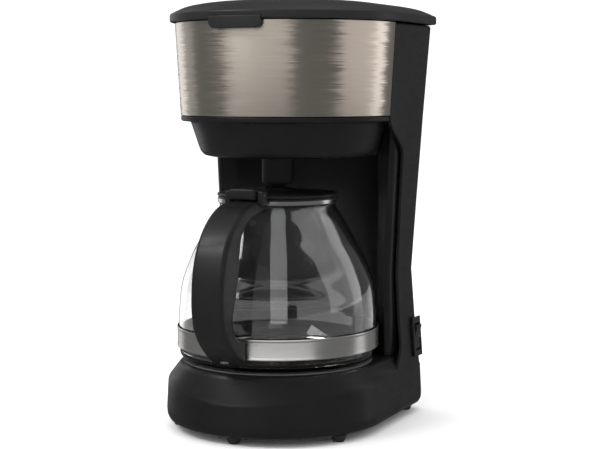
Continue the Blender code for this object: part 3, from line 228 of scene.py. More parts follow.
def brushed(name, dark, light, tint, rough, centre_y, anisotropy, sway):
    """Metal brushed round its axis. Each hair line mirrors its own place, which frays the highlights."""
    n = Nodes(name)
    place = n.place()
    parts = n.add("SeparateXYZ", {"Vector": place})
    depth_y = n.math("SUBTRACT", parts.outputs["Y"], centre_y * MM)
    turn = n.math("ARCTAN2", parts.outputs["X"], depth_y)
    hair_length, hairs_per_metre = 2.2, 2400.0
    round_x = n.math("MULTIPLY", n.math("SINE", turn), hair_length)
    round_y = n.math("MULTIPLY", n.math("COSINE", turn), hair_length)
    up = n.math("MULTIPLY", parts.outputs["Z"], hairs_per_metre)
    along = n.add("CombineXYZ", {"X": round_x, "Y": round_y, "Z": up}).outputs["Vector"]
    hair = n.noise(along, 1.0, 3.0, 0.65)
    broad = n.noise(n.scaled(along, (1.6, 1.6, 0.22)), 1.0, 3.0, 0.55)
    cloud = n.noise(place, 22.0, 3.0, 0.5)
    lines_mix = n.math("ADD", n.math("MULTIPLY", hair, 0.65), n.math("MULTIPLY", broad, 0.35))
    colour = n.ramp(lines_mix, ((0.3, grey(dark, tint)), (0.7, grey(light, tint))))
    streaked = n.values(lines_mix, rough - 0.06, rough + 0.08, 0.3, 0.7)
    roughness = n.math("ADD", streaked, n.values(cloud, -0.02, 0.02))
    tangent = n.add("Tangent", direction_type="RADIAL", axis="Z").outputs["Tangent"]
    swing = n.values(lines_mix, -sway, sway, 0.3, 0.7)
    moved = n.add("VectorMath", {0: tangent, "Scale": swing}, operation="SCALE").outputs["Vector"]
    normal = n.add("NewGeometry").outputs["Normal"]
    tipped = n.add("VectorMath", {0: normal, 1: moved}, operation="ADD").outputs["Vector"]
    frayed = n.add("VectorMath", {0: tipped}, operation="NORMALIZE").outputs["Vector"]
    n.set(Base_Color=colour, Metallic=1.0, Roughness=roughness)
    n.set(Anisotropic=anisotropy, Anisotropic_Rotation=0.25)
    n.set(Normal=n.bump(hair, 0.12, 0.00002, frayed), Tangent=tangent)
    return n.material


def plated(name, dark, light, tint, rough):
    """Plain machined or plated metal with faint clouds and fine scratches."""
    n = Nodes(name)
    place = n.place()
    cloud = n.noise(place, 140.0, 4.0, 0.6)
    scratch = n.noise(n.scaled(place, (300.0, 300.0, 2400.0)), 1.0, 3.0, 0.6)
    n.set(
        Base_Color=n.ramp(cloud, ((0.3, grey(dark, tint)), (0.7, grey(light, tint)))),
        Metallic=1.0,
        Roughness=n.values(scratch, rough - 0.08, rough + 0.1, 0.3, 0.7),
        Normal=n.bump(scratch, 0.12, 0.00003),
    )
    return n.material


def clear_glass(name):
    """Blown glass: slight waviness, and faint wiped marks in its gloss."""
    n = Nodes(name)
    place = n.place()
    wave = n.noise(n.scaled(place, (1.0, 1.0, 0.5)), 34.0, 2.0, 0.4)
    wiped = n.noise(n.scaled(place, (1.0, 1.0, 3.0)), 70.0, 6.0, 0.7)
    n.set(
        Base_Color=n.ramp(wiped, ((0.3, grey(0.97)), (0.8, grey(0.99)))),
        Roughness=n.values(wiped, 0.004, 0.02, 0.45, 0.85),
        Normal=n.bump(wave, 0.012, 0.0004),
        Transmission_Weight=1.0,
        IOR=1.46,
    )
    return n.material


def woven(name):
    """Fine nylon mesh of the permanent filter."""
    n = Nodes(name)
    parts = n.add("SeparateXYZ", {"Vector": n.place()})
    turn = n.math("MULTIPLY", n.math("ARCTAN2", parts.outputs["X"], parts.outputs["Y"]), 150.0)
    warp = n.math("ABSOLUTE", n.math("SINE", turn))
    weft = n.math("ABSOLUTE", n.math("SINE", n.math("MULTIPLY", parts.outputs["Z"], 4200.0)))
    weave = n.math("MAXIMUM", warp, weft)
    stain = n.noise(n.place(), 60.0, 5.0, 0.6)
    thread = n.math("MULTIPLY", weave, n.values(stain, 0.75, 1.0, 0.3, 0.7))
    n.set(
        Base_Color=n.ramp(thread, ((0.2, (0.05, 0.04, 0.025, 1.0)), (0.9, (0.42, 0.38, 0.3, 1.0)))),
        Roughness=n.values(stain, 0.5, 0.7, 0.3, 0.7),
        Normal=n.bump(weave, 0.5, 0.00012),
    )
    return n.material


def tank_plastic(name):
    """Smoky translucent polypropylene."""
    n = Nodes(name)
    place = n.place()
    cloud = n.noise(place, 30.0, 4.0, 0.6)
    scale = n.noise(n.scaled(place, (1.0, 1.0, 8.0)), 40.0, 5.0, 0.6)
    n.set(
        Base_Color=n.ramp(cloud, ((0.3, grey(0.2)), (0.7, grey(0.27)))),
        Roughness=n.values(scale, 0.3, 0.5, 0.3, 0.7),
        Normal=n.bump(cloud, 0.05, 0.0005),
        Transmission_Weight=0.25,
        IOR=1.49,
    )
    return n.material


LOOKS = {
    "housing": moulded("housing_plastic", 0.0055, 0.0095, 0.40, 1500.0, 0.10),
    "lid": moulded("lid_plastic", 0.013, 0.019, 0.40, 1500.0, 0.12),
    "handle": moulded("handle_plastic", 0.0075, 0.0125, 0.42, 1300.0, 0.14),
    "inner": moulded("inner_plastic", 0.007, 0.012, 0.55, 1300.0, 0.1),
    "rocker": moulded("rocker_plastic", 0.01, 0.016, 0.3, 1900.0, 0.05),
    "tank": tank_plastic("tank_plastic"),
    "band": brushed("band_steel", 0.56, 0.66, (1.0, 0.91, 0.80), 0.30, HEAD_Y, 0.75, 0.09),
    "jug_band": brushed("polished_steel", 0.72, 0.77, (1.0, 0.985, 0.965), 0.3, 0.0, 0.6, 0.005),
    "strap": brushed("strap_steel", 0.62, 0.7, (1.0, 0.99, 0.97), 0.2, 0.0, 0.4, 0.02),
    # Near-black steel for the jug band's inward faces: painted shade where the inner face reads dark through
    # the glass
    "band_inside_shade": plated("band_back_steel", 0.035, 0.05, (1.0, 1.0, 1.0), 0.5),
    "fastener": plated("fastener_steel", 0.5, 0.64, (1.0, 1.0, 0.98), 0.32),
    "aluminium": plated("bare_aluminium", 0.62, 0.74, (1.0, 1.0, 1.01), 0.38),
    "brass": plated("bare_brass", 0.5, 0.62, (1.15, 0.82, 0.42), 0.34),
    "hotplate": moulded("hotplate_coat", 0.012, 0.02, 0.42, 2400.0, 0.04),
    "silicone": rubber("silicone_seal", 0.05, 0.09, (1.0, 0.99, 0.97), 0.6),
    "hose": rubber("silicone_hose", 0.5, 0.62, (1.0, 0.98, 0.94), 0.5, 0.3),
    "rubber": rubber("black_rubber", 0.012, 0.022),
    "glass": clear_glass("jug_clear_glass"),
    "mesh": woven("filter_weave"),
    "ceramic": moulded("ceramic_insulator", 0.6, 0.72, 0.5, 900.0, 0.15, (1.0, 0.97, 0.9)),
}
SLOT_LOOK = {
    "housing_plastic": "housing",
    "inner_plastic": "inner",
    "tank_plastic": "tank",
    "band_steel": "band",
    "polished_steel": "jug_band",
    "fastener_steel": "fastener",
    "aluminium": "aluminium",
    "hotplate_coat": "hotplate",
    "silicone": "hose",
    "black_rubber": "rubber",
    "glass": "glass",
    "filter_mesh": "mesh",
    "ceramic": "ceramic",
    "brass": "brass",
}
NODE_SLOT = {row["node"]: row["material_slot"] for row in frame["record"]["subparts"]}
NODE_BODY = {
    node: body for body, members in frame["record"]["behaviour"]["bodies"].items() for node in members
}

# -------- shapes


def blend(low, high, t):
    return low + (high - low) * t


def smooth_step(t):
    t = min(max(t, 0.0), 1.0)
    return t * t * (3 - 2 * t)


def soften(points, size, steps=4, closed=False, sharpest=12.0):
    """Rounds the corners of a line, in any number of dimensions."""
    points = [tuple(p) for p in points]
    count = len(points)
    found = []
    for i, p in enumerate(points):
        if not closed and i in (0, count - 1):
            found.append(p)
            continue
        before, after = points[i - 1], points[(i + 1) % count]
        back = [a - b for a, b in zip(before, p)]
        ahead = [a - b for a, b in zip(after, p)]
        back_length = math.sqrt(sum(v * v for v in back))
        ahead_length = math.sqrt(sum(v * v for v in ahead))
        turn = -sum(a * b for a, b in zip(back, ahead)) / (back_length * ahead_length)
        if turn > math.cos(math.radians(sharpest)):
            found.append(p)
            continue
        start = [c + v * min(size / back_length, 0.46) for c, v in zip(p, back)]
        end = [c + v * min(size / ahead_length, 0.46) for c, v in zip(p, ahead)]
        for step in range(steps + 1):
            t = step / steps
            u, v, w = (1 - t) ** 2, 2 * t * (1 - t), t * t
            found.append(tuple(u * s + v * c + w * e for s, c, e in zip(start, p, end)))
    return found


def soften_marked(section, sizes, steps=4):
    """Rounds only the marked corners of a closed section, so that every section has as many points."""
    found = []
    count = len(section)
    for i, p in enumerate(section):
        if not sizes[i]:
            found.append(p)
            continue
        before, after = Vector(section[i - 1]), Vector(section[(i + 1) % count])
        corner = Vector(p)
        start = corner + (before - corner).normalized() * sizes[i]
        end = corner + (after - corner).normalized() * sizes[i]
        for step in range(steps + 1):
            t = step / steps
            found.append(tuple((1 - t) ** 2 * start + 2 * t * (1 - t) * corner + t * t * end))
    return found


def spline_value(a, b, c, d, t):
    """One coordinate of the smooth curve from b to c, t of the way along. Its neighbours are a and d."""
    square = 2 * a - 5 * b + 4 * c - d
    cube = 3 * b - a - 3 * c + d
    return 0.5 * (2 * b + (c - a) * t + square * t**2 + cube * t**3)


def through(points, steps):
    """Points along a smooth curve through the given ones, in any number of dimensions."""
    points = [tuple(p) for p in points]
    first = tuple(2 * a - b for a, b in zip(points[0], points[1]))
    last = tuple(2 * a - b for a, b in zip(points[-1], points[-2]))
    ends = [first] + points + [last]
    found = [points[0]]
    for p0, p1, p2, p3 in zip(ends, ends[1:], ends[2:], ends[3:]):
        for step in range(1, steps + 1):
            t = step / steps
            found.append(tuple(spline_value(*values, t) for values in zip(p0, p1, p2, p3)))
    return found


def finished(bm, name, look, angle=38.0):
    """The object made from a shape in millimetres."""
    bmesh.ops.recalc_face_normals(bm, faces=bm.faces)
    mesh = bpy.data.meshes.new(name)
    bm.to_mesh(mesh)
    bm.free()
    mesh.transform(Matrix.Scale(MM, 4))
    mesh.shade_smooth()
    mesh.set_sharp_from_angle(angle=math.radians(angle))
    obj = bpy.data.objects.new(name, mesh)
    SCENE.collection.objects.link(obj)
    if look:
        mesh.materials.append(LOOKS[look])
    return obj


def loft(name, rings, look=None, angle=38.0):
    """A skin over successive rings of points, capped at its ends."""
    bm = bmesh.new()
    rows = [[bm.verts.new(point) for point in ring] for ring in rings]
    for low, high in zip(rows, rows[1:]):
        for i in range(len(low)):
            j = (i + 1) % len(low)
            bm.faces.new((low[i], low[j], high[j], high[i]))
    bm.faces.new(list(reversed(rows[0])))
    bm.faces.new(rows[-1])
    return finished(bm, name, look, angle)


def lathe(name, line, look=None, closed=True, at=(0.0, 0.0), segments=ROUND, angle=38.0):
    """A line of (radius, z) turned about a vertical axis. An open line starts and ends on the axis."""
    bm = bmesh.new()
    rows = []
    for radius, z in line:
        if radius < 1e-6:
            rows.append([bm.verts.new((at[0], at[1], z))])
            continue
        row = []
        for i in range(segments):
            turn = math.tau * i / segments
            row.append(bm.verts.new((at[0] + radius * math.cos(turn), at[1] + radius * math.sin(turn), z)))
        rows.append(row)
    pairs = list(zip(rows, rows[1:])) + ([(rows[-1], rows[0])] if closed else [])
    for low, high in pairs:
        for i in range(segments):
            j = (i + 1) % segments
            corners = [low[i % len(low)], low[j % len(low)], high[j % len(high)], high[i % len(high)]]
            kept = [v for k, v in enumerate(corners) if v not in corners[:k]]
            if len(kept) > 2:
                bm.faces.new(kept)
    return finished(bm, name, look, angle)


def block(name, low, high, bevel=0.5, segments=3, look=None, turn=None):
    """A box with rounded edges, in its own frame where turn is given."""
    bm = bmesh.new()
    size = Vector(high) - Vector(low)
    middle = (Vector(high) + Vector(low)) / 2
    bmesh.ops.create_cube(bm, size=1.0, matrix=Matrix.Translation(middle) @ Matrix.Diagonal((*size, 1.0)))
    if bevel:
        rounding = {"segments": segments, "profile": 0.5, "clamp_overlap": True}
        bmesh.ops.bevel(bm, geom=bm.edges[:], offset=bevel, affect="EDGES", **rounding)
    if turn is not None:
        bm.transform(turn)
    return finished(bm, name, look)


def rod(name, base, radius, length, axis="Z", look=None, bevel=0.0, sides=48, turn=None):
    """A round bar from base along an axis, with rounded ends where bevel is given."""
    bm = bmesh.new()
    turns = {
        "Z": Matrix.Identity(4),
        "X": Matrix.Rotation(math.radians(90), 4, "Y"),
        "Y": Matrix.Rotation(math.radians(-90), 4, "X"),
    }
    place = Matrix.Translation(base) @ turns[axis] @ Matrix.Translation((0, 0, length / 2))
    bmesh.ops.create_cone(
        bm, cap_ends=True, segments=sides, radius1=radius, radius2=radius, depth=length, matrix=place
    )
    if bevel:
        rims = [e for e in bm.edges if sorted(len(f.verts) for f in e.link_faces) == [4, sides]]
        bmesh.ops.bevel(bm, geom=rims, offset=bevel, segments=3, affect="EDGES", profile=0.5)
    if turn is not None:
        bm.transform(turn)
    return finished(bm, name, look)


def tube(name, line, radius, look=None, sides=10):
    """A round tube or wire along a line."""
    data = bpy.data.curves.new(name, "CURVE")
    data.dimensions = "3D"
    spline = data.splines.new("POLY")
    spline.points.add(len(line) - 1)
    for target, point in zip(spline.points, line):
        target.co = (*[c * MM for c in point], 1.0)
    data.bevel_depth = radius * MM
    data.bevel_resolution = sides // 2 - 1
    data.use_fill_caps = True
    guide = bpy.data.objects.new(name, data)
    SCENE.collection.objects.link(guide)
    graph = bpy.context.evaluated_depsgraph_get()
    mesh = bpy.data.meshes.new_from_object(guide.evaluated_get(graph))
    bpy.data.objects.remove(guide)
    bm = bmesh.new()
    bm.from_mesh(mesh)
    bmesh.ops.remove_doubles(bm, verts=bm.verts, dist=1e-6)
    bm.transform(Matrix.Scale(1 / MM, 4))
    return finished(bm, name, look)


def combine(obj, operation, *others):
    """Joins the other shapes to obj or cuts them from it, then removes them."""
    for other in others:
        modifier = obj.modifiers.new("combine", "BOOLEAN")
        modifier.operation = operation
        modifier.solver = "EXACT"
        modifier.object = other
    graph = bpy.context.evaluated_depsgraph_get()
    mesh = bpy.data.meshes.new_from_object(obj.evaluated_get(graph))
    obj.modifiers.clear()
    for other in others:
        bpy.data.objects.remove(other)
    bm = bmesh.new()
    bm.from_mesh(mesh)
    bmesh.ops.remove_doubles(bm, verts=bm.verts, dist=2e-6)
    bmesh.ops.dissolve_degenerate(bm, edges=bm.edges, dist=1e-6)
    bm.to_mesh(mesh)
    bm.free()
    obj.data = mesh
    mesh.shade_smooth()
    mesh.set_sharp_from_angle(angle=math.radians(38.0))
    return obj


def unite(obj, *others):
    return combine(obj, "UNION", *others)


def cut(obj, *others):
    return combine(obj, "DIFFERENCE", *others)


def settle(obj, *nodes, body=None, slot=None):
    """Puts a finished piece on its body in place of the CAD nodes that it stands for."""
    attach(obj, body or NODE_BODY[nodes[0]])
    if nodes:
        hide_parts(*nodes)
    return obj


# -------- outlines


def arc(centre, radius, start, end, steps):
    turns = [blend(start, end, i / steps) for i in range(steps + 1)]
    return [(centre[0] + radius * math.cos(a), centre[1] + radius * math.sin(a)) for a in turns]


def rear_points(half_width, rear_y, corner):
    right = arc((half_width - corner, rear_y - corner), corner, 0.0, math.pi / 2, CORNER_STEPS)
    return right + [(-x, y) for x, y in reversed(right)]


def plan(radius, centre_y, half_width, rear_y, corner):
    """A half-round front, straight sides and two rear corners."""
    front = arc((0.0, centre_y), radius, math.pi, math.tau, FRONT_STEPS)
    return front + rear_points(half_width, rear_y, corner)


def risen(points, z, rise):
    """The plan at a height that climbs round the sides by rise."""
    found = []
    for x, y in points:
        turn = min(abs(math.atan2(x, -y)), math.pi / 2)
        found.append((x, y, z + rise * math.sin(turn) ** 1.4))
    return found


def flat(points, z):
    return [(x, y, z) for x, y in points]


def shell_size(z):
    for low, high in zip(SHELL, SHELL[1:]):
        if z <= high[0]:
            break
    t = (z - low[0]) / (high[0] - low[0])
    return blend(low[1], high[1], t), blend(low[2], high[2], t)


def head_plan(front_radius, back_radius, back_y):
    """A round pot with a flat back. Its radius differs ahead of its centre and behind it."""
    lean = math.asin(min((back_y - HEAD_Y) / back_radius, 0.98))
    centre = (0.0, HEAD_Y)
    left = arc(centre, back_radius, math.pi - lean, math.pi - 0.02, 24)
    front = arc(centre, front_radius, math.pi, math.tau, FRONT_STEPS)
    right = arc(centre, back_radius, math.tau + 0.02, math.tau + lean, 24)
    return left + front + right


# -------- housing


def rear_shell():
    """The wall that rises behind the column, from inside the base to the lid."""
    sections = []
    heights = [24.0, 29.6] + [30 + 2 * i for i in range(12)] + [58, 66, 76, 88, 102, 116, 130, 143, 152]
    heights += [157 + i for i in range(0, 25)] + [190, 204, 219, 232.8, 233.4, BODY_TOP]
    insets = {24.0: 0.5, 233.4: 0.12, BODY_TOP: 0.6}
    for z in heights:
        half_width, rear_y = shell_size(z)
        inset = insets.get(z, 0.0)
        low = blend(WING_FRONT_Y, RECESS_EDGE_Y, smooth_step((z - 29.0) / 16.0))
        front_y = low - blend(0.0, RECESS_EDGE_Y - SHELL_AT_BAND_Y, smooth_step((z - 157.0) / 24.0))
        outside = [(half_width - inset, front_y)]
        outside += rear_points(half_width - inset, rear_y - inset, 14.0)
        outside += [(-half_width + inset, front_y)]
        inside = [(half_width - WALL, front_y)] + rear_points(half_width - WALL, rear_y - WALL, 14.0 - WALL)
        inside += [(-half_width + WALL, front_y)]
        section = outside + list(reversed(inside))
        sizes = [0.0] * len(section)
        for k in (0, len(outside) - 1, len(outside), len(section) - 1):
            sizes[k] = 0.9
        sections.append(flat(soften_marked(section, sizes), z))
    return loft("rear_shell", sections)


def housing():
    """Round base and rear shell, which are one moulding."""
    # Front radius, half width, rear, rear corner, height, and how far the height climbs round the sides
    outer = [
        (61.8, 60.6, 76.9, 13.0, HOUSING_BOTTOM, 0.0),
        (63.8, 62.8, 79.1, 14.0, 5.6, 0.0),
        (64.9, 63.9, 80.2, 14.0, 8.0, 0.0),
        (65.2, 64.1, 80.4, 14.0, 11.0, 0.0),
        (64.4, 63.5, 79.6, 14.0, CREASE_Z, CREASE_RISE),
        (63.7, 62.9, 79.0, 14.0, CREASE_Z + 1.5, CREASE_RISE),
        (58.6, 59.0, 75.0, 12.0, 36.4, 0.0),
        (57.4, 58.2, 74.2, 12.0, 37.9, 0.0),
        (55.8, 57.0, 73.4, 12.0, TOP_PLATE_Z, 0.0),
    ]
    inner = [
        (54.6, 55.6, 71.6, 10.0, TOP_PLATE_Z - 2.4, 0.0),
        (61.6, 60.6, 76.6, 12.0, CREASE_Z - 1.0, CREASE_RISE),
        (62.6, 61.4, 77.6, 12.0, 11.0, 0.0),
        (60.2, 59.0, 75.3, 11.5, HOUSING_BOTTOM, 0.0),
    ]
    line = inner + soften(outer, 0.6, 4)
    rings = [risen(plan(r, 0.0, w, y, c), z, rise) for r, w, y, c, z, rise in line]
    obj = loft("housing_moulding", rings, "housing", angle=42.0)
    joined = [rear_shell()]
    for side in (-1, 1):
        low_x = side * HINGE_X - LUG_WIDTH / 2
        low = (low_x, HINGE_Y - 2.3, 227.8)
        high = (low_x + LUG_WIDTH, HINGE_Y - 0.6, HINGE_Z)
        eye = (low_x - 0.1, HINGE_Y, HINGE_Z)
        joined.append(block("lug", low, high, 0.2, 2))
        joined.append(rod("lug_eye", eye, 1.9, LUG_WIDTH + 0.2, "X", bevel=0.3, sides=32))
    unite(obj, *joined)
    frame_matrix = switch_frame()
    cut(
        obj,
        rod("opening", (0, 0, 30.0), 54.4, 12.0, sides=ROUND),
        *[rod("port", (x, 60.5, 30.0), 8.2, 12.0) for x in (PORT_X, -PORT_X)],
        rod("pin_bore", (-HINGE_X - 9, HINGE_Y, HINGE_Z), PIN_BORE, 18.0, "X", sides=24),
        rod("pin_bore", (HINGE_X - 9, HINGE_Y, HINGE_Z), PIN_BORE, 18.0, "X", sides=24),
        rod("cord_opening", (-35.0, 70.0, 16.0), 5.4, 16.0, "Y"),
        block("window", (-16.0, -5.8, -10.2), (4.0, 5.8, 10.2), 0, turn=frame_matrix),
    )
    settle(obj, "main_housing")


def column():
    """Hollow front of the column, its two wings and the strips that run back beside the shell."""
    # Height and half width of the side strips
    side = ((38.9, 57.0), (56.0, 57.2), (88.0, 56.4), (130.0, 58.2), (LIP_BOTTOM, 60.4))
    hollow_start = math.atan2(HOLLOW_EDGE[1], HOLLOW_EDGE[0])
    sections = []
    for z in [38.9, 39.3] + [40 + 6 * i for i in range(23)] + [177.3, 177.7]:
        for low, high in zip(side, side[1:]):
            if z <= high[0]:
                break
        strip_x = blend(low[1], high[1], (z - low[0]) / (high[0] - low[0]))
        hollow = arc((0, 0), BAY_RADIUS, hollow_start, math.pi - hollow_start, 64)
        behind = arc((0, 0), BAY_RADIUS + WALL, hollow_start + 0.01, math.pi - hollow_start - 0.01, 64)
        wing = soften([(0.0, 16.0), (0.0, 6.0), (-0.4, 3.9), (-1.7, 2.3), (-3.4, 1.8)], 0.9, 3, sharpest=2.0)
        right = [(strip_x + x, WING_FRONT_Y + y) for x, y in wing]
        back = [(strip_x - WALL, 48.0), (strip_x - WALL, 36.4)]
        outside = right + hollow + [(-x, y) for x, y in reversed(right)]
        inside = back + behind + [(-x, y) for x, y in reversed(back)]
        section = outside + list(reversed(inside))
        sizes = [0.0] * len(section)
        for k in (len(right), len(right) + len(hollow) - 1):
            sizes[k] = 0.6
        sections.append(flat(soften_marked(section, sizes, 3), z))
    obj = loft("column_front", sections, "housing", angle=42.0)
    pot = []
    for radius, z in ((50.6, 157.1), (52.0, 160.4), (53.2, 163.5), (58.2, 177.8), (58.6, 184.0)):
        pot.append(flat(head_plan(radius + 0.5, radius + 0.5, 80.0), z))
    cut(obj, loft("pot_clearance", pot), block("hollow_top", (-49, 40, 157.1), (49, 70, 190), 0))
    settle(obj, "column_panel")


# -------- brew head


def brew_head():
    back = HEAD_BACK_Y
    # Radius ahead of the axis and behind it, rear, height
    outer = [
        (46.0, 46.0, back, HEAD_BOTTOM),
        (49.6, 49.6, back, 158.2),
        (51.8, 51.8, back, 160.4),
        (53.0, 53.0, back, 163.5),
        (57.4, 57.4, back, LIP_BOTTOM - 1.2),
        (58.2, 57.8, back, LIP_BOTTOM - 0.2),
        (62.6, 58.0, back, LIP_BOTTOM),
        (63.3, 58.6, back, LIP_BOTTOM + 0.8),
        (63.3, 60.3, back, LIP_TOP - 0.2),
        (62.9, 60.5, back, LIP_TOP),
        (60.6, 60.6, back, LIP_TOP + 0.1),
        (63.6, 63.6, back, BODY_TOP),
    ]
    back -= 2.0
    inner = [
        (61.6, 61.6, back, BODY_TOP),
        (58.5, 58.5, back, LIP_TOP + 0.5),
        (55.2, 55.2, back, LIP_BOTTOM - 2.0),
        (50.4, 50.4, back, 162.5),
        (47.4, 47.4, back, 159.9),
    ]
    line = soften(outer + inner, 0.9, 4)
    rings = [flat(head_plan(front, rear, y), z) for front, rear, y, z in line]
    obj = loft("brew_head_pot", rings, "housing", angle=42.0)
    cut(
        obj,
        rod("drip_opening", (0, 0, 150.0), 13.0, 16.0, sides=96),
        block("spout_notch", (4.0, 38.0, 226.4), (40.0, 48.0, 240.0), 0),
    )
    settle(obj, "brew_head")


def steel_band():
    """Rolled steel band with hemmed edges, open behind."""
    outline = [(63.4, 181.4), (66.55, 234.6), (65.75, 234.6), (62.6, 181.4)]
    line = soften(outline, 0.3, 3, closed=True)
    end_y = HEAD_Y + 1.4
    sections = []
    for k in range(FRONT_STEPS * 2 + 3):
        turn = math.pi + math.pi * min(max((k - 1) / (FRONT_STEPS * 2), 0.0), 1.0)
        straight = k in (0, FRONT_STEPS * 2 + 2)
        section = []
        for radius, z in line:
            x, y = radius * math.cos(turn), HEAD_Y + radius * math.sin(turn)
            section.append((x, end_y if straight else y, z))
        sections.append(section)
    settle(loft("band_sleeve", sections, "band", angle=42.0), "steel_band")


# -------- lid


def lid_rim(inset, z):
    radius = LID_RADIUS - inset
    return flat(plan(radius, HEAD_Y, radius, LID_REAR_Y - inset, 15.0 - inset * 0.7), z)


def lid_dome(scale, z):
    """The lid's outline shrunk towards its middle."""
    middle_y = 20.0
    points = plan(LID_RADIUS, HEAD_Y, LID_RADIUS, LID_REAR_Y, 15.0)
    return [(x * scale, middle_y + (y - middle_y) * scale, z) for x, y in points]


def lid_tab():
    """The lift tab, which hangs from the rim's front and has round lower corners."""
    sections = []
    steps = 48
    for i in range(steps + 1):
        along = -1 + 2 * i / steps
        beyond = max(abs(along) - 0.8, 0.0) / 0.2
        low = blend(229.8, 232.6, 1 - math.sqrt(1 - min(beyond, 0.98) ** 2))
        turn = -math.pi / 2 + math.radians(13.0) * along
        outline = [(68.0, low), (71.0, low), (71.0, 236.6), (68.0, 236.6)]
        section = []
        for r, z in soften_marked(outline, [0.4, 0.9, 0.5, 0.0], 4):
            section.append((r * math.cos(turn), HEAD_Y + r * math.sin(turn), z))
        sections.append(section)
    return loft("lid_tab", sections)


def lid():
    edge = [(2.0, LID_BOTTOM), (0.7, LID_BOTTOM), (0.0, 235.6), (0.0, 239.2), (0.5, 239.9), (1.3, 240.25)]
    rings = [lid_rim(*pair) for pair in soften(edge, 0.5, 3)[1:]]
    crown = [(0.97, 240.6), (0.95, 241.4), (0.86, 244.0), (0.70, 246.1), (0.48, 247.4), (0.22, LID_TOP)]
    rings += [lid_dome(*pair) for pair in through(crown, 4)]
    rings += [lid_dome(0.1, LID_TOP), lid_dome(0.04, LID_TOP)]
    inner = [(0.05, 245.6), (0.20, 245.6), (0.44, 244.8), (0.66, 243.0)]
    under = [lid_dome(scale, z) for scale, z in inner]
    for inset, rear_y, z in ((8.0, 76.5, 240.6), (2.6, 79.0, 238.2), (2.4, 79.0, LID_BOTTOM)):
        radius = LID_RADIUS - inset
        under.append(flat(plan(radius, HEAD_Y, radius, rear_y, 11.0), z))
    obj = loft("lid_moulding", under + rings, "lid", angle=32.0)
    unite(obj, lid_tab())
    half_pocket = LUG_WIDTH / 2 + 0.6
    pockets, bores = [], []
    for x in (-HINGE_X, HINGE_X):
        pockets.append(block("pocket", (x - half_pocket, 83, 234), (x + half_pocket, 92, 246), 0))
        bores.append(rod("bore", (x - 11, HINGE_Y, HINGE_Z), PIN_RADIUS + GAP, 22.0, "X", sides=24))
    cut(obj, *pockets, *bores)
    settle(obj, "lid")


# -------- switch, feet, gland


def switch_frame():
    """The switch's own frame: +X out of the housing's side, +Z up the side."""
    return Matrix.Translation(SWITCH_CENTRE) @ Matrix.Rotation(SWITCH_LEAN, 4, "Y")


def switch():
    turn = switch_frame()
    body = block("switch_case", (-8.0, -5.4, -9.8), (1.0, 5.4, 9.8), 0.2, 2, "rocker", turn)
    unite(body, block("bezel", (0.4, -6.2, -12.0), (1.6, 6.2, 12.0), 0.5, 5, None, turn))
    cut(
        body,
        block("well", (-6.0, -4.1, -8.3), (6.0, 4.1, 8.3), 0.0, 1, None, turn),
        rod("axle_hole", (0, -6.0, 0), 1.3, 12.0, "Y", sides=32, turn=turn),
    )
    settle(body, "switch_body")
    tilt = turn @ Matrix.Rotation(ROCKER_TILT, 4, "Y")
    lower = [(-3.0, -6.8), (2.0, -7.4), (2.3, -6.6), (1.7, -3.2)]
    upper = [(x, -z) for x, z in reversed(lower)]
    side = soften(lower + [(1.3, 0.0)] + upper, 0.8, 4, closed=True, sharpest=4.0)
    rings = []
    for y, inset in ((-3.7, 0.35), (-3.6, 0.12), (-3.4, 0.0), (3.4, 0.0), (3.6, 0.12), (3.7, 0.35)):
        rings.append([tilt @ Vector((x * (1 - inset / 8), y, z * (1 - inset / 8))) for x, z in side])
    rocker = loft("rocker_key", rings, "rocker")
    unite(rocker, rod("axle", (0, -4.9, 0), 1.0, 9.8, "Y", sides=32, turn=tilt))
    settle(rocker, "switch_rocker")


def feet_and_gland():
    places = {"front": (0, -56), "left": (-51, -27), "right": (51, -27)}
    places.update(rear_left=(-54, 68), rear_right=(54, 68))
    line = soften([(0.0, 0.0), (3.0, 0.0), (4.5, 4.2), (0.0, 4.2)], 0.45, 4)
    for name, at in places.items():
        settle(lathe("foot_pad_" + name, line, "rubber", False, at, 48), "foot_" + name)
    line = [(7.0, 1.9), (7.0, 0.3), (5.1, 0.3), (5.1, -5.0), (3.6, -5.0), (3.6, 1.9)]
    gland = lathe("inlet_gland", soften(line, 0.45, 4, closed=True), "rubber", segments=64)
    rear_wall = Matrix.Translation((-0.035, 0.0804, 0.016))
    gland.data.transform(rear_wall @ Matrix.Rotation(math.radians(-90), 4, "X"))
    settle(gland, "cord_gland")
    for side, name in ((-1, "left"), (1, "right")):
        start = (side * HINGE_X - 10.5, HINGE_Y, HINGE_Z)
        pin = rod("hinge_rod_" + name, start, PIN_RADIUS, 21.0, "X", "fastener", 0.2, 32)
        settle(pin, "hinge_pin_" + name)


# -------- heater, tank and filter


def hotplate():
    line = [(0.0, 40.3), (51.2, 40.3), (52.0, 39.6), (52.0, 36.8), (50.8, 36.8), (50.8, 38.8), (0.0, 38.8)]
    settle(lathe("warming_plate", soften(line, 0.5, 4), "hotplate", False), "hotplate")
    seal = [(55.4, 39.8), (55.4, 38.9), (54.0, 38.9), (54.0, 36.0), (52.4, 36.0), (52.4, 39.8)]
    settle(lathe("plate_seal", soften(seal, 0.4, 4, closed=True), "silicone"), "hotplate_seal")


def tank_ring(z, low_front, inset):
    """The tank's plan: its front follows the column's hollow below, and the head's flat back above."""
    half_width, rear_y = shell_size(z)
    clear = 0.6
    half_width -= WALL + clear + inset
    rear_y -= WALL + clear + inset
    stations = [-half_width, -41.0, -38.0] + [-36 + 3 * i for i in range(25)] + [38.0, 41.0, half_width]
    front = []
    for x in stations:
        if abs(x) > 40:
            y = 50.0
        elif low_front:
            y = math.sqrt(64.2**2 - x**2)
        else:
            y = HEAD_BACK_Y + 1.1
        front.append((x, y + inset))
    return flat(front + rear_points(half_width, rear_y, 11.0 - inset), z)


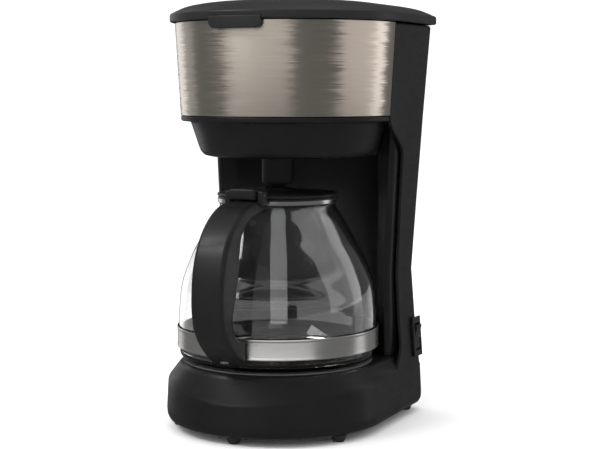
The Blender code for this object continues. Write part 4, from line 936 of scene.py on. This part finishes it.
def tank():
    wall = 1.8
    outer = [(58.0, True), (88.0, True), (130.0, True), (158.2, True), (160.2, False), (226.0, False)]
    inner = [(226.0, False), (162.4, False), (160.4, True), (130.0, True), (88.0, True), (60.0, True)]
    rings = [tank_ring(z, low, 0.0) for z, low in outer] + [tank_ring(z, low, wall) for z, low in inner]
    obj = loft("tank_moulding", rings, "tank")
    cut(
        obj,
        rod("hole", (-PORT_X, TANK_PORT_Y, 50), 3.9, 14.0),
        rod("hole", (PORT_X, TANK_PORT_Y, 50), 5.9, 14.0),
    )
    settle(obj, "water_tank")
    riser = soften([(3.6, 226.0), (3.6, 50.0), (2.6, 50.0), (2.6, 226.0)], 0.3, 2, closed=True)
    pipe = lathe("riser_pipe", riser, "fastener", at=(PORT_X, TANK_PORT_Y), segments=48)
    settle(pipe, "riser_tube")
    line = [(38, 62, 222), (38, 62, 228), (36, 59, 231.6), (28, 48, 232.6), (18, 32, 232.4), (13, 23, 230.6)]
    path = through(line, 8)
    ahead = []
    for end, before in ((path[0], path[1]), (path[-1], path[-2])):
        ahead.append(Vector(end) + (Vector(end) - Vector(before)) * 4)
    spout = tube("spout_elbow", path, 5.3, "inner", 24)
    cut(spout, tube("spout_bore", [ahead[0]] + path + [ahead[1]], 4.3, None, 24))
    settle(spout, "outlet_spout")


def filter_parts():
    basket = [(41.2, 225.4), (41.2, 224.0), (39.6, 223.6), (38.4, 184.0), (34.0, 172.0), (29.5, 160.2)]
    basket += [(9.2, 160.2), (9.2, 142.4), (8.1, 142.4), (8.1, 158.4), (3.0, 158.4)]
    basket += [(3.0, 162.0), (28.0, 162.0), (32.5, 172.6), (36.8, 184.4), (38.0, 225.4)]
    obj = lathe("basket_moulding", soften(basket, 0.6, 3, closed=True), "inner")
    settle(obj, "filter_basket")
    cup = [(0.0, 172.2), (27.6, 172.2), (30.6, 174.2), (34.8, 185.4), (35.4, 216.0)]
    cup += [(36.2, 216.0), (35.6, 185.0), (31.2, 173.5), (28.0, 171.4), (0.0, 171.4)]
    settle(lathe("filter_cup", soften(cup, 0.8, 3), "mesh", False), "filter_mesh")
    rim = [(37.4, 219.0), (37.4, 216.3), (34.6, 216.3), (34.6, 219.0)]
    settle(lathe("filter_ring", soften(rim, 0.6, 4, closed=True), "rocker"), "filter_rim")
    valve = [(0.0, 165.4), (3.8, 165.4), (3.8, 164.4), (2.2, 164.4)]
    valve += [(2.2, 143.2), (7.5, 143.2), (7.5, 141.8), (6.7, 141.0), (0.0, 141.0)]
    settle(lathe("valve_plunger", soften(valve, 0.3, 3), "inner", False, segments=64), "drip_valve")


def valve_spring():
    """The drip valve's spring, drawn as one fixed coil at full length."""
    low, high, turns, stroke = 144.0, 157.6, 5, 4.0
    radius, steps = 4.3, 24
    coil = []
    for i in range(steps * turns + 1):
        turn = math.tau * i / steps
        height = blend(low, high, i / (steps * turns))
        coil.append((radius * math.cos(turn), radius * math.sin(turn), height))
    spring = settle(tube("valve_coil", coil, 0.45, "fastener"), "valve_spring")
    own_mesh(spring)


# -------- jug


def jug_glass():
    wall = [(32.6, 131.8), (34.6, 127.6), (38.4, 122.0), (44.0, 112.0), (50.0, 100.9)]
    wall += [(55.9, 84.6), (57.7, 70.0), (58.0, 59.0), (57.3, 43.2)]
    outer = through(wall, 6)
    outer_line = [(33.0, 134.2)] + outer + [(55.0, 40.6), (52.0, 40.6), (46.0, 41.6), (0.0, 41.8)]
    inner = [(0.0, 43.8), (46.0, 43.6), (52.5, 44.2)]
    inner += [(r - GLASS, z) for r, z in reversed(outer[:-3])] + [(31.2, 134.2)]
    line = soften(inner + outer_line, 1.0, 4, sharpest=14.0)
    settle(lathe("glass_jug", line, "glass", False, segments=192, angle=60.0), "jug_glass")


def jug_band():
    """Belly band with a rolled edge above and below."""
    line = [(58.4, 47.7), (BELLY_RADIUS, 47.7), (BELLY_RADIUS, 48.7), (58.82, 49.1)]
    line += [(58.82, 58.0), (BELLY_RADIUS, 58.4), (BELLY_RADIUS, 59.4), (58.4, 59.4)]
    obj = lathe("belly_band", soften(line, 0.3, 3, closed=True), "jug_band", segments=192)
    # The inward faces take the near-black steel: painted shade for the dark inner face seen through the
    # glass
    obj.data.materials.append(LOOKS["band_inside_shade"])
    for face in obj.data.polygons:
        inward = face.center.x * face.normal.x + face.center.y * face.normal.y
        face.material_index = 1 if inward < -0.03 else 0
    settle(obj, "jug_band")


def jug_collar():
    """Neck collar with its hinge lugs, and the bright strap drawn round it."""
    line = [(34.6, 134.8), (34.6, 130.9), (33.4, 130.9), (33.4, 134.8)]
    obj = lathe("neck_collar", soften(line, 0.4, 4, closed=True), "handle")
    unite(
        obj,
        block("tongue", (-9.0, -44.5, 129.6), (9.0, -33.7, 134.2), 0.5, 3),
        block("lug", (-12.0, -43.5, 132.0), (-8.4, -36.5, 140.2), 0.8, 4),
        block("lug", (8.4, -43.5, 132.0), (12.0, -36.5, 140.2), 0.8, 4),
    )
    cut(
        obj,
        rod("pin_bore", (-13, JUG_PIN_Y, JUG_PIN_Z), PIN_BORE, 26.0, "X", sides=24),
        rod("screw_bore", (0, COLLAR_SCREW_Y, 126.0), SCREW_RADIUS + GAP, 6.6, sides=24),
    )
    settle(obj, "jug_collar")
    strap = [(COLLAR_RADIUS, 133.7), (34.95, 132.6), (COLLAR_RADIUS, 131.5), (34.62, 131.5), (34.62, 133.7)]
    strap = lathe("collar_strap", soften(strap, 0.15, 3, closed=True), "strap")
    settle(strap, body="jug", slot="polished_steel")
    start = (-11.6, JUG_PIN_Y, JUG_PIN_Z)
    settle(rod("lid_axle", start, PIN_RADIUS, 23.2, "X", "fastener", 0.2, 32), "jug_lid_pin")


def jug_lid():
    line = [(0.0, 140.5), (4.0, 140.3), (7.2, 139.4), (9.0, 137.7), (12.0, 137.3)]
    line += [(34.4, 136.9), (35.2, 136.3), (35.2, 135.1), (30.5, 135.1), (29.8, 131.0)]
    line += [(28.6, 131.0), (28.4, 134.7), (9.0, 134.7), (6.0, 137.5), (0.0, 138.1)]
    obj = lathe("jug_cover", soften(line, 0.7, 3), "handle", False)
    unite(obj, block("thumb_tab", (-7.8, -46.0, 135.2), (7.8, -32.0, 141.4), 1.1, 4))
    cut(obj, rod("tab_bore", (-13, JUG_PIN_Y, JUG_PIN_Z), PIN_BORE, 26.0, "X", sides=24))
    settle(obj, "jug_lid")


def handle_grip():
    """The grip, drawn on its side as a bevelled curve and then stood up ahead of the jug."""
    outer = [(36.4, 134.4), (45.6, 134.4), (59.2, 131.6), (71.4, 124.2), (80.6, 113.5), (86.2, 100.0)]
    outer += [(88.0, 85.0), (86.9, 72.0), (82.2, 61.5), (73.5, 52.4), (65.0, 46.4), (59.6, 44.2)]
    inner = [(59.6, 59.6), (65.6, 60.6), (71.6, 65.0), (73.6, 72.0), (71.0, 82.0), (67.0, 96.0)]
    inner += [(65.2, 108.0), (62.6, 117.0), (54.1, 123.8), (44.0, 126.6), (36.4, 127.8)]
    edge, half = 2.6, 9.8
    data = bpy.data.curves.new("grip", "CURVE")
    data.dimensions = "2D"
    data.fill_mode = "BOTH"
    spline = data.splines.new("POLY")
    line = through(outer, 8) + through(inner, 8)
    spline.points.add(len(line) - 1)
    for target, (r, z) in zip(spline.points, line):
        target.co = (r * MM, z * MM, 0.0, 1.0)
    spline.use_cyclic_u = True
    data.offset = -edge * MM
    data.extrude = (half - edge) * MM
    data.bevel_depth = edge * MM
    data.bevel_resolution = 5
    guide = bpy.data.objects.new("grip", data)
    SCENE.collection.objects.link(guide)
    graph = bpy.context.evaluated_depsgraph_get()
    mesh = bpy.data.meshes.new_from_object(guide.evaluated_get(graph))
    bpy.data.objects.remove(guide)
    bm = bmesh.new()
    bm.from_mesh(mesh)
    bmesh.ops.remove_doubles(bm, verts=bm.verts, dist=1e-6)
    bm.transform(Matrix(((0, 0, -1, 0), (-1, 0, 0, 0), (0, 1, 0, 0), (0, 0, 0, 1))))
    bm.transform(Matrix.Scale(1 / MM, 4))
    return finished(bm, "handle_grip", "handle")


def jug_handle():
    obj = handle_grip()
    holes = []
    for y, z, head, whole in ((COLLAR_SCREW_Y, 120, 8.1, 14.0), (HANDLE_SCREW_Y, 40, 9.0, 17.0)):
        holes.append(rod("hole", (0, y, z), SCREW_HEAD_RADIUS + GAP, head))
        holes.append(rod("hole", (0, y, z), SCREW_RADIUS + GAP, whole))
    neck, belly = COLLAR_RADIUS + GAP, BELLY_RADIUS + GAP
    cut(
        obj,
        block("slot", (-9.3, -44.8, 129.3), (9.3, -30.0, 134.5), 0),
        lathe("neck_clearance", [(neck, 150), (neck, 110), (20, 110), (20, 150)]),
        lathe("band_clearance", [(belly, 62), (belly, 38), (40, 38), (40, 62)]),
        block("lug_clearance", (-14, -45, 131.7), (14, -30, 145), 0),
        *holes,
    )
    settle(obj, "jug_handle")


def screws():
    """Pan heads with a crossed recess."""
    # Node, y, the head's lower face and the whole length
    sizes = (("collar_screw", COLLAR_SCREW_Y, 126.2, 6.0), ("handle_screw", HANDLE_SCREW_Y, 46.8, 9.6))
    for node, y, low, length in sizes:
        high = low + 1.6
        line = [(0.0, low + length), (SCREW_RADIUS, low + length), (SCREW_RADIUS, high)]
        line += [(SCREW_HEAD_RADIUS, high), (SCREW_HEAD_RADIUS, low), (0.0, low)]
        obj = lathe(node + "_head", soften(line, 0.35, 3), "fastener", False, (0, y), 48)
        recess = []
        for across, along in ((1.6, 0.3), (0.3, 1.6)):
            corner = (-across, y - along, low - 1)
            recess.append(block("recess", corner, (across, y + along, low + 0.9), 0))
        cut(obj, *recess)
        settle(obj, node)


# -------- build

housing()
column()
brew_head()
steel_band()
lid()
switch()
feet_and_gland()
hotplate()
tank()
filter_parts()
valve_spring()
jug_glass()
jug_band()
jug_collar()
jug_lid()
jug_handle()
screws()
for node_name, node in NODES.items():
    if not node.hide_render:
        node.data.materials.clear()
        node.data.materials.append(LOOKS[SLOT_LOOK[NODE_SLOT[node_name]]])

# -------- floor, light and camera


def studio_floor():
    bm = bmesh.new()
    bmesh.ops.create_grid(bm, x_segments=4, y_segments=4, size=6000.0)
    floor = finished(bm, "studio_floor", None)
    n = Nodes("studio_floor_paint")
    paint = n.noise(n.place(), 3.0, 3.0, 0.5)
    colour = n.ramp(paint, ((0.2, grey(0.92)), (0.8, grey(0.94))))
    n.set(Base_Color=colour, Roughness=n.values(paint, 0.55, 0.65), Specular_IOR_Level=0.0)
    floor.data.materials.append(n.material)
    floor.visible_glossy = False


def softbox(name, place, target, size, power, tint=(1.0, 1.0, 1.0)):
    data = bpy.data.lights.new(name, "AREA")
    data.shape = "RECTANGLE"
    data.size, data.size_y = size
    data.energy = power
    data.color = tint
    light = bpy.data.objects.new(name, data)
    light.location = place
    light.rotation_euler = (Vector(target) - Vector(place)).to_track_quat("-Z", "Y").to_euler()
    SCENE.collection.objects.link(light)
    return light


def around(azimuth, distance, height):
    """A place round the object: azimuth 0 is in front and 90 is on its right."""
    turn = math.radians(azimuth)
    return (distance * math.sin(turn), -distance * math.cos(turn), height)


def only_on(pieces, *lights):
    """These lights reach only these pieces, as flags would leave them."""
    lit = bpy.data.collections.new(pieces[0].name + "_lit")
    for piece in pieces:
        lit.objects.link(piece)
    for light in lights:
        light.light_linking.receiver_collection = lit


def light_arch(name, azimuth, width, radiance, low, high, count, target, distance=1.25):
    """A softbox bent over the object in flat panels, from one elevation to another."""
    made = []
    step = (high - low) / count
    length = 2 * distance * math.tan(math.radians(step / 2))
    for i in range(count):
        lift = math.radians(low + step * (i + 0.5))
        place = around(azimuth, distance * math.cos(lift), target[2] + distance * math.sin(lift))
        power = radiance * math.pi * width * length
        made.append(softbox(name + "_" + str(i), place, target, (width, length), power))
    return made


def panel(name, azimuth, distance, height, size, radiance, tint=(1.0, 1.0, 1.0)):
    """A softbox given by the brightness of its face."""
    power = radiance * math.pi * size[0] * size[1]
    return softbox(name, around(azimuth, distance, height), (0.0, 0.0, 0.14), size, power, tint)


def studio():
    studio_floor()
    world = bpy.data.worlds.new("studio")
    SCENE.world = world
    world.use_nodes = True
    tree = world.node_tree
    background = tree.nodes["Background"]
    background.inputs["Color"].default_value = (1.0, 1.0, 1.0, 1.0)
    path = tree.nodes.new("ShaderNodeLightPath")
    level = tree.nodes.new("ShaderNodeMapRange")
    tree.links.new(path.outputs["Is Glossy Ray"], level.inputs["Value"])
    level.inputs["To Min"].default_value = WORLD_WHITE
    level.inputs["To Max"].default_value = WORLD_IN_GLOSS
    tree.links.new(level.outputs["Result"], background.inputs["Strength"])
    panel("front_fill", -5, 1.3, 0.55, (1.5, 0.9), 0.2)
    panel("rear_right", 131, 1.1, 0.35, (0.34, 1.2), 0.7)
    panel("rear_left", -120, 1.1, 0.4, (0.5, 1.2), 0.7)
    panel("upper_left", -40, 1.0, 1.15, (0.7, 0.5), 7.5)
    softbox("top", (0.1, 0.15, 1.2), (0, 0, 0.14), (0.9, 0.9), 2.0)
    objects = bpy.data.objects
    only_on(
        [objects["band_sleeve"]],
        panel("band_front", -6, 1.3, 0.3, (1.9, 0.9), 0.52, (1.0, 0.98, 0.95)),
        panel("band_right", 108, 1.1, 0.3, (1.3, 0.9), 0.66, (1.0, 0.93, 0.91)),
        panel("band_left", -110, 1.1, 0.3, (1.0, 0.9), 0.28),
    )
    jug_middle = (0.0, 0.0, 0.08)
    only_on(
        [objects["glass_jug"]],
        *light_arch("glass_panel", 114, 1.25, 1.25, -2, 70, 3, jug_middle),
        *light_arch("glass_strip", 27, 0.42, 1.7, -2, 80, 3, jug_middle),
    )
    only_on([objects["belly_band"]], panel("belly_front", 24, 1.3, 0.3, (2.4, 0.8), 1.15))
    SCENE.view_settings.view_transform = "Standard"


def camera():
    """A long lens, from the right of the front and a little above the middle."""
    data = bpy.data.cameras.new("camera")
    data.sensor_width = 36.0
    data.lens = 90.0
    obj = bpy.data.objects.new("camera", data)
    azimuth, distance, height = 26.0, 0.872, 0.1988
    look_down, look_left = math.radians(5.31), math.radians(25.15)
    obj.location = around(azimuth, distance, height)
    obj.rotation_euler = (math.radians(90.0) - look_down, 0.0, look_left)
    SCENE.collection.objects.link(obj)
    SCENE.camera = obj


studio()
camera()

bpy.context.view_layer.update()
